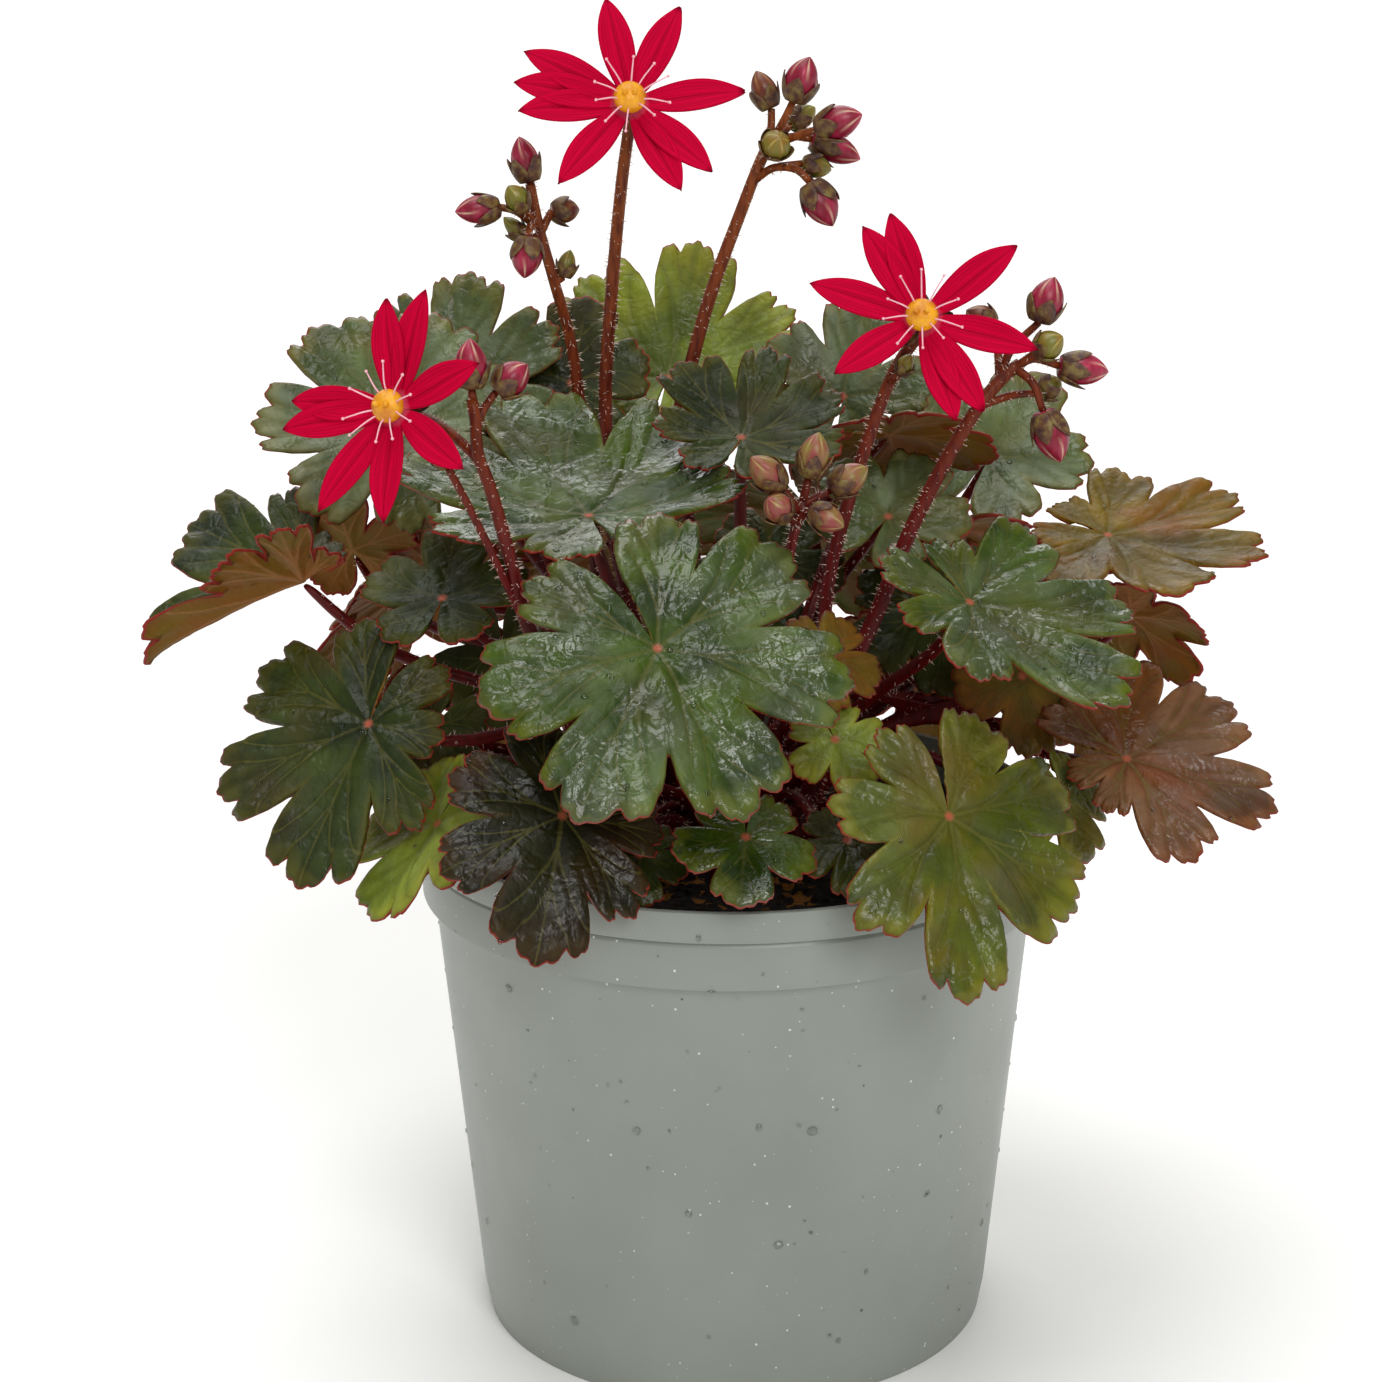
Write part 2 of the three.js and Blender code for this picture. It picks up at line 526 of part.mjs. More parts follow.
const leaves = [
  // on the front
  {
    at: [-14, -52, 159], face: -83, tilt: 46, spin: 25, reach: 37.5, cup: -1,
    shares: [0.75, 0.9, 0.97, 0.97, 0.97, 0.9, 0.8],
  },
  {
    at: [46.5, -30, 162], face: -53, tilt: 34, spin: 18, reach: 35, cup: 6,
    shares: [0.55, 0.5, 0.6, 1.02, 0.95, 0.78, 0.48],
  },
  {
    at: [41, -60, 128], face: -60, tilt: 54, spin: -8, reach: 31, cup: -2,
    shares: [0.66, 0.76, 0.9, 1.1, 1, 0.94, 0.78],
  },
  {
    at: [-32, -62, 129], face: -66, tilt: 49, spin: -26, reach: 25, cup: -2,
    shares: [0.85, 0.88, 1, 1.12, 0.88, 0.8, 0.6],
  },
  {
    at: [-71, -38, 140], face: -111, tilt: 47, spin: -10, reach: 31, cup: -1,
    shares: [0.8, 0.95, 1.04, 1.08, 0.8, 0.5, 0.6],
  },
  {
    at: [80, -15, 125], face: -85, tilt: 38, spin: 73, reach: 29, cup: -2,
    shares: [0.42, 0.45, 0.85, 1.05, 0.96, 0.96, 0.7], tint: "bronze",
  },
  {
    at: [-28.3, -13, 175.6], face: -93, tilt: 14, spin: 203, reach: 38, cup: 9,
    shares: [0.55, 0.8, 1, 1.08, 1, 0.85, 0.6],
  },
  {
    at: [-87, -8, 161.5], face: 178, tilt: 20, spin: 6, reach: 36, cup: -3, fold: 38,
    shares: [0.3, 0.6, 0.85, 0.96, 0.58, 0.6, 0.3],
  },
  {
    at: [78.5, 15, 164.5], face: -76, tilt: 16, spin: 54, reach: 32, cup: 5,
    shares: [0.5, 0.86, 0.96, 1, 0.96, 0.8, 0.5], tint: "bronze",
  },
  { at: [2.5, -60, 124], face: -77, tilt: 34, spin: -13, reach: 15.5, cup: 0, lobes: 5 },
  { at: [-57, -50, 123.5], face: -144, tilt: 45, spin: 4, reach: 22, cup: 2, lobes: 5 },
  // on the top
  {
    at: [2, 10.5, 185.4], face: -88, tilt: 28, spin: 164, reach: 21, cup: 5,
    shares: [0.75, 1, 1.04, 1.08, 1.04, 0.8, 0.7],
  },
  {
    at: [-14, 52, 191], face: -98, tilt: 46, spin: 172, reach: 31, cup: 5,
    shares: [0.8, 0.94, 0.98, 1.06, 1, 0.8, 0.6],
  },
  { at: [-68, 15, 187], face: -78, tilt: 48, spin: 209, reach: 31, cup: 0 },
  { at: [-60, 34, 190], face: -105, tilt: 58, spin: 180, reach: 28, cup: 2 },
  { at: [-34, 36, 193], face: -90, tilt: 60, spin: 175, reach: 19, cup: 0, lobes: 5 },
  { at: [24, 42, 188.5], face: -90, tilt: 62, spin: 165, reach: 21, cup: 0, fold: 18, lobes: 5 },
  { at: [32, 2, 171.5], face: -90, tilt: 34, spin: 150, reach: 19, cup: 1, fold: 6, lobes: 5 },
  { at: [33, 24, 184], face: 90, tilt: 34, spin: -80, reach: 22, cup: -3, lobes: 5, tint: "bronze" },
  { at: [56, 44, 175], face: -90, tilt: 48, spin: 150, reach: 24, cup: 1, fold: 6, lobes: 5 },
  { at: [47, 24, 164], face: 100, tilt: 34, spin: -70, reach: 19, cup: -3, lobes: 5, tint: "bronze" },
  // in the gaps
  { at: [86, 30, 143], face: 60, tilt: 50, spin: -30, reach: 20, cup: -2, lobes: 5, tint: "bronze" },
  { at: [-57.5, -20, 160.5], face: -100, tilt: 32, spin: 180, reach: 19, cup: 2, lobes: 5 },
  { at: [-80, 16, 162], face: 90, tilt: 60, spin: 170, reach: 17, cup: -1, lobes: 5, tint: "bronze" },
  { at: [-64, 24, 158], face: 90, tilt: 50, spin: 200, reach: 17, cup: -1, lobes: 5, tint: "bronze" },
  { at: [18, -30, 151], face: -60, tilt: 50, spin: 60, reach: 13, cup: 0, lobes: 5, tint: "bronze" },
  { at: [67, -12, 116.5], face: -50, tilt: 55, spin: 0, reach: 14, cup: -1, lobes: 5 },
  { at: [22, -52, 120.5], face: -80, tilt: 42, spin: 0, reach: 12, cup: 0, lobes: 5 },
  { at: [20, -40, 137], face: -80, tilt: 45, spin: 20, reach: 12, cup: 0, lobes: 5 },
  { at: [-18, -50, 117], face: -90, tilt: 45, spin: 0, reach: 11, cup: 0, lobes: 5 },
  // on the back
  { at: [60, 66, 144], face: 46, tilt: 48, spin: 10, reach: 33, cup: -4 },
  { at: [18, 68, 158], face: 78, tilt: 46, spin: -14, reach: 35, cup: -4 },
  { at: [-28, 72, 150], face: 110, tilt: 50, spin: 8, reach: 34, cup: -4 },
  { at: [-68, 52, 144], face: 142, tilt: 50, spin: -6, reach: 31, cup: -4, tint: "bronze" },
  { at: [42, 72, 120], face: 60, tilt: 66, spin: -8, reach: 25, cup: -3, lobes: 5, tint: "bronze" },
  { at: [-8, 78, 122], face: 96, tilt: 66, spin: 6, reach: 25, cup: -3, lobes: 5 },
  { at: [-50, 66, 120], face: 128, tilt: 64, spin: 0, reach: 23, cup: -3, lobes: 5 },
  { at: [76, 36, 120], face: 26, tilt: 58, spin: 4, reach: 21, cup: -3, lobes: 5 },
  { at: [-80, 16, 124], face: 168, tilt: 60, spin: 0, reach: 21, cup: -3, lobes: 5 },
  // deep inside
  { at: [-48, 8, 142], face: -100, tilt: 52, spin: 10, reach: 18, cup: -1, lobes: 5 },
  { at: [-60, -22, 134], face: -110, tilt: 50, spin: -20, reach: 15, cup: -1, lobes: 5 },
  { at: [40, 10, 150], face: -80, tilt: 54, spin: 15, reach: 19, cup: -1, lobes: 5 },
  { at: [60, 0, 138], face: -70, tilt: 50, spin: -10, reach: 17, cup: -1, lobes: 5, tint: "bronze" },
  { at: [8, 20, 158], face: -90, tilt: 55, spin: 0, reach: 18, cup: -1, lobes: 5 },
];

const USUAL_SHARES = { 7: [0.72, 0.86, 0.96, 1, 0.96, 0.86, 0.72], 5: [0.76, 0.9, 1, 0.9, 0.76] };
const TEETH = {
  7: [[-1, 0.64], [-0.7, 0.9], [-0.4, 0.88], [0, 1], [0.4, 0.88], [0.7, 0.9]],
  5: [[-1, 0.6], [-0.55, 0.94], [0, 1], [0.55, 0.94]],
};
const INNER_RING = 0.42;
const SINUS_RING = 0.3;
const SINUS_DEPTH = 0.07;

leaves.forEach((leaf, i) => {
  leaf.name = "leaf_" + String(i + 1).padStart(2, "0");
  leaf.tint ??= "green";
  leaf.fold ??= 0;
  leaf.lobes ??= 7;
  leaf.shares ??= USUAL_SHARES[leaf.lobes];
  leaf.spacing = (360 - SINUS) / leaf.lobes;
  const { down, side, normal, origin } = leaningFrame(leaf.face, leaf.tilt, leaf.at);
  const turn = degrees(leaf.spin);
  leaf.origin = origin;
  leaf.normal = normal;
  leaf.ahead = down.clone().multiplyScalar(Math.cos(turn)).addScaledVector(side, Math.sin(turn));
  leaf.across = new THREE.Vector3().crossVectors(normal, leaf.ahead);
});

// The height of a blade over its own plane: cupped, folded along its middle, pleated by its lobes
function bladeHeight(leaf, u, v) {
  const share = Math.hypot(u, v) / leaf.reach;
  const turn = THREE.MathUtils.radToDeg(Math.atan2(v, u));
  const pleat = -PLEAT * leaf.reach * Math.cos(2 * Math.PI * (turn / leaf.spacing)) * share ** 1.5;
  return pleat + leaf.cup * share ** 2 + Math.tan(degrees(leaf.fold)) * Math.abs(v);
}

// The blade's rim as [angle in degrees, radius], from one side of the sinus round to the other
function bladeRim(leaf) {
  const rim = [];
  leaf.shares.forEach((length, k) => {
    const middle = (k - (leaf.lobes - 1) / 2) * leaf.spacing;
    for (const [across, along] of TEETH[leaf.lobes]) {
      rim.push([middle + (across * leaf.spacing) / 2, along * length * leaf.reach]);
    }
  });
  rim.push([180 - SINUS / 2, TEETH[leaf.lobes][0][1] * leaf.shares.at(-1) * leaf.reach]);
  return rim;
}

function bladeGeometry(leaf) {
  const rim = bladeRim(leaf);
  const flat = [[0, 0], [180, SINUS_DEPTH * leaf.reach], ...rim];
  const faces = [];
  const border = [1];
  const firstRim = 2;
  const lastRim = firstRim + rim.length - 1;
  if (leaf.lobes === 7) {
    const ring = [];
    for (let k = 0; k <= 2 * leaf.lobes; k++) {
      const atEnd = k === 0 || k === 2 * leaf.lobes;
      const length = leaf.shares[Math.min(Math.floor(k / 2), leaf.lobes - 1)] * leaf.reach;
      ring.push(flat.length);
      flat.push([-180 + SINUS / 2 + (k * leaf.spacing) / 2, (atEnd ? SINUS_RING : INNER_RING) * length]);
    }
    for (let k = 0; k < leaf.lobes; k++) {
      const [a, b, c] = [ring[2 * k], ring[2 * k + 1], ring[2 * k + 2]];
      const o = firstRim + 6 * k;
      faces.push([0, a, b], [0, b, c]);
      faces.push([a, o, o + 1], [a, o + 1, o + 2], [a, o + 2, b], [b, o + 2, o + 3]);
      faces.push([b, o + 3, o + 4], [b, o + 4, c], [c, o + 4, o + 5], [c, o + 5, o + 6]);
    }
    faces.push([0, ring.at(-1), 1], [0, 1, ring[0]]);
    border.push(ring[0]);
    for (let i = firstRim; i <= lastRim; i++) border.push(i);
    border.push(ring.at(-1));
  } else {
    for (let i = firstRim; i < lastRim; i++) faces.push([0, i, i + 1]);
    faces.push([0, lastRim, 1], [0, 1, firstRim]);
    for (let i = firstRim; i <= lastRim; i++) border.push(i);
  }
  const points = [];
  for (const side of [1, -1]) {
    for (const [angle, radius] of flat) {
      const u = radius * Math.cos(degrees(angle));
      const v = radius * Math.sin(degrees(angle));
      points.push([u, v, bladeHeight(leaf, u, v) + (side * BLADE_THICKNESS) / 2]);
    }
  }
  const count = flat.length;
  const triangles = [];
  for (const [a, b, c] of faces) triangles.push([a, b, c], [a + count, c + count, b + count]);
  border.forEach((a, i) => {
    const b = border[(i + 1) % border.length];
    triangles.push([a, a + count, b + count], [a, b + count, b]);
  });
  return indexed(points, triangles);
}

// How far the blade's rim is from its stalk in a direction, in degrees
function rimRadius(leaf, angle) {
  const rim = leaf.rim;
  if (Math.abs(angle) >= rim.at(-1)[0]) return SINUS_DEPTH * leaf.reach;
  const i = rim.findIndex(([turn]) => turn > angle);
  const [a, ra] = rim[i - 1];
  const [b, rb] = rim[i];
  return THREE.MathUtils.lerp(ra, rb, (angle - a) / (b - a));
}

// The distance from a point to a blade's middle surface, or infinity beside the blade
function distanceToBlade(leaf, point, margin) {
  const away = point.clone().sub(leaf.origin);
  if (away.lengthSq() > (1.35 * leaf.reach + 8) ** 2) return Infinity;
  const u = away.dot(leaf.ahead);
  const v = away.dot(leaf.across);
  const angle = THREE.MathUtils.radToDeg(Math.atan2(v, u));
  if (Math.hypot(u, v) > rimRadius(leaf, angle) + margin) return Infinity;
  return Math.abs(away.dot(leaf.normal) - bladeHeight(leaf, u, v));
}

// Points spread over a blade, about 2 mm apart
function bladeSamples(leaf) {
  const samples = [];
  for (let angle = -174; angle <= 174; angle += 4) {
    const end = rimRadius(leaf, angle);
    for (let radius = end; radius > 1; radius -= 2) {
      const u = radius * Math.cos(degrees(angle));
      const v = radius * Math.sin(degrees(angle));
      samples.push([u, v, bladeHeight(leaf, u, v)]);
    }
  }
  return samples;
}

function toWorld(leaf, [u, v, w]) {
  return leaf.origin
    .clone()
    .addScaledVector(leaf.ahead, u)
    .addScaledVector(leaf.across, v)
    .addScaledVector(leaf.normal, w);
}

// Every stalk, bud and petal of the flowers as balls that the leaves keep clear of
function flowerBalls() {
  const balls = [];
  const along = (curve, radius) => {
    const steps = Math.ceil(curve.getLength() / 1.5);
    for (let i = 0; i <= steps; i++) balls.push({ centre: curve.getPointAt(i / steps), radius });
  };
  for (const spray of sprays) {
    for (const { curve, radii } of sprayLines(spray)) along(curve, radii[0]);
    for (const { route, tip, width } of spray.branches) {
      along(new THREE.LineCurve3(vector(route.at(-1)), vector(tip)), width / 2);
    }
  }
  for (const bloom of blooms) {
    const frame = bloomFrame(bloom);
    for (const [angle, length] of bloom.petals) {
      const out = vector([length * Math.cos(degrees(angle)), length * Math.sin(degrees(angle)), 2]);
      along(new THREE.LineCurve3(vector([0, 0, 0]).applyMatrix4(frame), out.applyMatrix4(frame)), 2.2);
    }
  }
  return balls;
}

const balls = flowerBalls();

// The lowest free height over the pot and compost at a distance from the axis
function groundHeight(point) {
  const out = Math.hypot(point.x, point.y);
  if (out > RIM_RADIUS + RIM_CLEARANCE) return -Infinity;
  return out > RIM_RADIUS - WALL - RIM_CLEARANCE ? POT_HEIGHT + RIM_CLEARANCE : COMPOST_TOP + 2.5;
}

function bladeIsClear(leaf, placed) {
  const points = leaf.samples.map((sample) => toWorld(leaf, sample));
  if (points.some((point) => point.z < groundHeight(point))) return false;
  for (const { centre, radius } of balls) {
    if (distanceToBlade(leaf, centre, radius + 0.6) < radius + STALK_CLEARANCE) return false;
  }
  for (const other of placed) {
    if (other.origin.distanceTo(leaf.origin) > leaf.reach + other.reach + 4) continue;
    if (points.some((point) => distanceToBlade(other, point, 0.8) < BLADE_CLEARANCE)) return false;
  }
  return true;
}

// Each blade is slid along the line of sight from the front, or outwards on the back, until it is
// clear of the flowers, the pot and the blades before it.
const SIGHT = vector([0, 0.959, -0.283]);

const placed = [];
for (const leaf of leaves) {
  leaf.rim = bladeRim(leaf);
  leaf.samples = bladeSamples(leaf);
  const home = leaf.origin.clone();
  const onBack = home.y > 45;
  const slide = onBack ? vector([home.x, home.y, 0]).normalize() : SIGHT;
  for (let step = 0; step < 60; step++) {
    const travel = (step % 2 ? 1 : -1) * Math.ceil(step / 2) * 0.75;
    leaf.origin = home.clone().addScaledVector(slide, travel);
    if (bladeIsClear(leaf, placed)) break;
  }
  placed.push(leaf);
}

for (const leaf of leaves) {
  const mesh = addNode(leaf.name, bladeGeometry(leaf), materials[leaf.tint]);
  mesh.position.copy(leaf.origin);
  mesh.quaternion.setFromRotationMatrix(
    new THREE.Matrix4().makeBasis(leaf.ahead, leaf.across, leaf.normal),
  );
}

// Leaf stalks. Each rises from its own place on the crown and bends round the blades, the flowers
// and the stalks before it.

function stalkCurve(leaf, root, lift, bow) {
  const end = leaf.origin.clone().addScaledVector(leaf.normal, -BLADE_THICKNESS / 2 - FIT_GAP);
  const span = root.distanceTo(end);
  const sideways = vector([-(end.y - root.y), end.x - root.x, 0]).normalize();
  const rising = root
    .clone()
    .lerp(end, 0.3)
    .add(vector([0, 0, lift * span]))
    .addScaledVector(sideways, bow * span);
  const arriving = end.clone().addScaledVector(leaf.normal, -0.16 * span);
  arriving.lerp(root.clone().lerp(end, 0.7), 0.35).addScaledVector(sideways, 0.7 * bow * span);
  const below = end.clone().addScaledVector(leaf.normal, -3);
  return new THREE.CatmullRomCurve3([root, rising, arriving, below, end]);
}

const stalkSpots = [];

function spotsAlong(curve) {
  const steps = 36;
  return Array.from({ length: steps }, (_, i) => {
    const share = (i + 1) / steps;
    const radius = THREE.MathUtils.lerp(STALK_ROOT_RADIUS, STALK_TIP_RADIUS, share);
    return { centre: curve.getPointAt(share), radius, share };
  });
}

// The room round a stalk, and how far it stays from the other stalks
function stalkRoom(leaf, curve) {
  let room = Infinity;
  let space = Infinity;
  for (const { centre, radius, share } of spotsAlong(curve)) {
    const out = Math.hypot(centre.x, centre.y);
    if (out > CROWN_RADIUS - 2) room = Math.min(room, centre.z - groundHeight(centre) + 0.8 - radius);
    for (const other of leaves) {
      if (other === leaf && share > 0.9) continue;
      const away = distanceToBlade(other, centre, radius + 0.8);
      room = Math.min(room, away - radius - BLADE_THICKNESS / 2);
    }
    for (const ball of balls) {
      room = Math.min(room, centre.distanceTo(ball.centre) - radius - ball.radius);
    }
    if (share < 0.12) continue;
    for (const spot of stalkSpots) {
      space = Math.min(space, centre.distanceTo(spot.centre) - radius - spot.radius);
    }
  }
  return { room, space };
}

// Places for the roots, spread evenly over the crown
const roots = leaves.map((_, i) => {
  const out = ROOT_SPREAD * Math.sqrt((i + 0.5) / leaves.length);
  const turn = degrees(137.5 * i);
  return vector([out * Math.cos(turn), out * Math.sin(turn), COMPOST_TOP]);
});

function bestStalk(leaf) {
  const compass = Math.atan2(leaf.origin.y, leaf.origin.x);
  const out = ROOT_SPREAD * THREE.MathUtils.clamp((200 - leaf.origin.z) / 75, 0.2, 1);
  const wanted = vector([out * Math.cos(compass), out * Math.sin(compass), COMPOST_TOP]);
  const free = roots.filter((root) => !root.taken);
  free.sort((a, b) => a.distanceTo(wanted) - b.distanceTo(wanted));
  let best = { score: -Infinity };
  for (const root of free.slice(0, 5)) {
    for (const lift of [0.12, 0.22, 0.02, 0.32]) {
      for (const bow of [0, 0.12, -0.12, 0.24, -0.24, 0.36, -0.36]) {
        const curve = stalkCurve(leaf, root, lift, bow);
        const { room, space } = stalkRoom(leaf, curve);
        const score = 4 * Math.min(room, 1) + Math.min(space, STALK_SPACE);
        if (score > best.score) best = { score, curve, root };
        if (score >= 4 + STALK_SPACE) break;
      }
    }
  }
  best.root.taken = true;
  stalkSpots.push(...spotsAlong(best.curve));
  return best.curve;
}

function crownGeometry() {
  const dome = [
    [0, -CROWN_DEPTH],
    [CROWN_RADIUS - 1, -CROWN_DEPTH],
    [CROWN_RADIUS, -CROWN_DEPTH + 1],
    [CROWN_RADIUS, 0],
    [0.6 * CROWN_RADIUS, CROWN_DOME],
    [0, CROWN_DOME + 1],
  ];
  const pieces = [
    new THREE.LatheGeometry(dome.map(([r, z]) => new THREE.Vector2(r, z)), 12)
      .rotateX(Math.PI / 2)
      .translate(0, 0, COMPOST_TOP),
  ];
  for (const leaf of leaves) {
    const curve = bestStalk(leaf);
    const steps = THREE.MathUtils.clamp(Math.round(curve.getLength() / STALK_STEP), 4, 6);
    const sides = STALK_SIDES[leaf.lobes];
    pieces.push(taperedTube(curve, STALK_ROOT_RADIUS, STALK_TIP_RADIUS, sides, steps));
  }
  return toGeometry(joined(pieces));
}

addNode("crown", crownGeometry(), materials.crown);

// Compost: fills the pot, lumpy on top, with a plain hole for the crown and one for each flower stalk

function compostGeometry() {
  const bottom = BASE + FIT_GAP;
  const inner = (z) => {
    const share = (z - BASE) / (COLLAR_BOTTOM - 2 - BASE);
    const radius = THREE.MathUtils.lerp(WALL_BOTTOM_RADIUS, WALL_TOP_RADIUS, Math.min(share, 1));
    return radius - WALL - FIT_GAP - 0.2;
  };
  const facets = 22;
  const profile = [
    [0, bottom],
    [inner(bottom), bottom],
    [inner(92), 92],
    [inner(92), COMPOST_EDGE],
    [46, COMPOST_TOP],
    [30, COMPOST_TOP],
    [0, COMPOST_TOP],
  ];
  const turned = new THREE.LatheGeometry(
    profile.map(([r, z]) => new THREE.Vector2(r, z)),
    facets,
  ).rotateX(Math.PI / 2);
  turned.deleteAttribute("normal");
  turned.deleteAttribute("uv");
  const mass = mergeVertices(turned, 1e-4);
  const draw = seeded(77);
  const position = mass.attributes.position;
  for (let i = 0; i < position.count; i++) {
    const out = Math.hypot(position.getX(i), position.getY(i));
    const lump = COMPOST_LUMPS * (draw() - 0.5);
    if (position.getZ(i) > 100 && out > 25) position.setZ(i, position.getZ(i) + lump);
  }
  let solid = toSolid(mass);
  const drill = (x, y, radius, depth) => {
    const hole = new THREE.CylinderGeometry(radius, radius, depth + 20, radius > 5 ? 14 : 6)
      .rotateX(Math.PI / 2)
      .translate(x, y, COMPOST_TOP - depth + (depth + 20) / 2);
    solid = solid.subtract(toSolid(hole));
  };
  drill(0, 0, CROWN_RADIUS + 0.8, CROWN_DEPTH + FIT_GAP);
  for (const { foot, radius } of sprays) drill(...foot, radius[0] + 1.2, FOOT_DEPTH + FIT_GAP);
  return toGeometry(solid);
}

addNode("compost", compostGeometry(), materials.compost);

export default group;
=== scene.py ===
"""A potted saxifrage: lobed glossy leaves on red stalks, bud sprays and three crimson blooms, in a
moulded grey-green nursery pot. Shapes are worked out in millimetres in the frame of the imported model."""

import math

import bmesh
import bpy
import numpy as np
from bpy.props import FloatProperty, FloatVectorProperty, IntProperty, PointerProperty
from mathutils import Matrix, Vector, noise


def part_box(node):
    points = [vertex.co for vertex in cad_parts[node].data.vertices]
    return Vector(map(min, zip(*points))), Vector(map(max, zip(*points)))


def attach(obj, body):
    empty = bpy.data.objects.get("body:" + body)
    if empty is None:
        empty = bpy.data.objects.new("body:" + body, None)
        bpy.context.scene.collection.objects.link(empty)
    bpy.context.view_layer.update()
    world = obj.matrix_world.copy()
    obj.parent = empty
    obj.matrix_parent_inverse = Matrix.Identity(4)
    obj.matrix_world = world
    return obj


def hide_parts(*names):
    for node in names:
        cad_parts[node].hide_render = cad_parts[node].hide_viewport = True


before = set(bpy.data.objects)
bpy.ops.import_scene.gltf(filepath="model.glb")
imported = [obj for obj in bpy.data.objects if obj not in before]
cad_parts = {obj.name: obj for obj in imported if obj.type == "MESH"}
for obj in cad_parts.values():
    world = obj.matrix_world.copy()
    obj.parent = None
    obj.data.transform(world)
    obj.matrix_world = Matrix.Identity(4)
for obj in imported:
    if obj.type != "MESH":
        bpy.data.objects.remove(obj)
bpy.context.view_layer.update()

bl_info = {
    "name": "Potted Saxifrage",
    "version": (1, 0, 0),
    "blender": (4, 5, 0),
    "location": "View3D > Sidebar > Saxifrage",
    "description": "Builds a potted saxifrage round its packed frame",
    "category": "Add Mesh",
}

MM = 0.001

# Sizes that the solids also have: millimetres, but PLEAT is a share of a blade's reach and SINUS degrees
POT_HEIGHT = 110.4
RIM_RADIUS = 65.5
COLLAR_RADIUS = 65
LIP_BOTTOM = 104.1
COLLAR_BOTTOM = 94.5
WALL_TOP_RADIUS = 62.6
WALL_BOTTOM_RADIUS = 54.3
FOOT_RADIUS = 53.2
FOOT_HEIGHT = 5.9
WALL = 1.6
BASE = 2.6
BASE_RECESS = 1.2
PAD_RADIUS = 14
FOOT_RING_RADIUS = 47
DRAIN_HOLES = 8
DRAIN_RADIUS = 3.5
DRAIN_CIRCLE = 33
COMPOST_TOP = 104
COMPOST_EDGE = 102.5
BLADE_THICKNESS = 0.9
PLEAT = 0.035
SINUS = 10
PETAL_WIDTH = 7.4
PETAL_RISE = 3
RECEPTACLE_HEIGHT = 1.6
OVARY_RADIUS = 3.2
STAMEN_COUNT = 10
STAMEN_LENGTH = 9
FOOT_DEPTH = 7

# Sizes that only the finer pieces have, in millimetres. Relief, veins and drops are given for a leaf of
# LARGE_REACH, and stalks have hairs from OPEN_AIR up, where they are clear of the compost.
BLADE_SKIN = 0.55
PETAL_SKIN = 0.35
SEPAL_SKIN = 0.22
HAIR_WIDTH = 0.1
STALK_TOP = 2.6
COMPOST_GAP = 0.6
COMPOST_SHOULDER = 92
LARGE_REACH = 37
OPEN_AIR = 108

# How many drops are on the pot, and hairs on each flower stalk and on the crown with its leaf stalks
POT_DROPS = 200
SPRAY_HAIRS = 600
CROWN_HAIRS = 5500

# The camera stands where the photograph was taken from. Angles are in degrees, for a picture of 36 mm side
CAMERA_PLACE = (0, -616.2, 316.9)
CAMERA_YAW = -0.79
CAMERA_PITCH = 16.44
CAMERA_ROLL = -0.44
CAMERA_LENS = 80.93

# The floor reaches this many metres each way, so that its edge lies on the horizon
FLOOR_REACH = 40

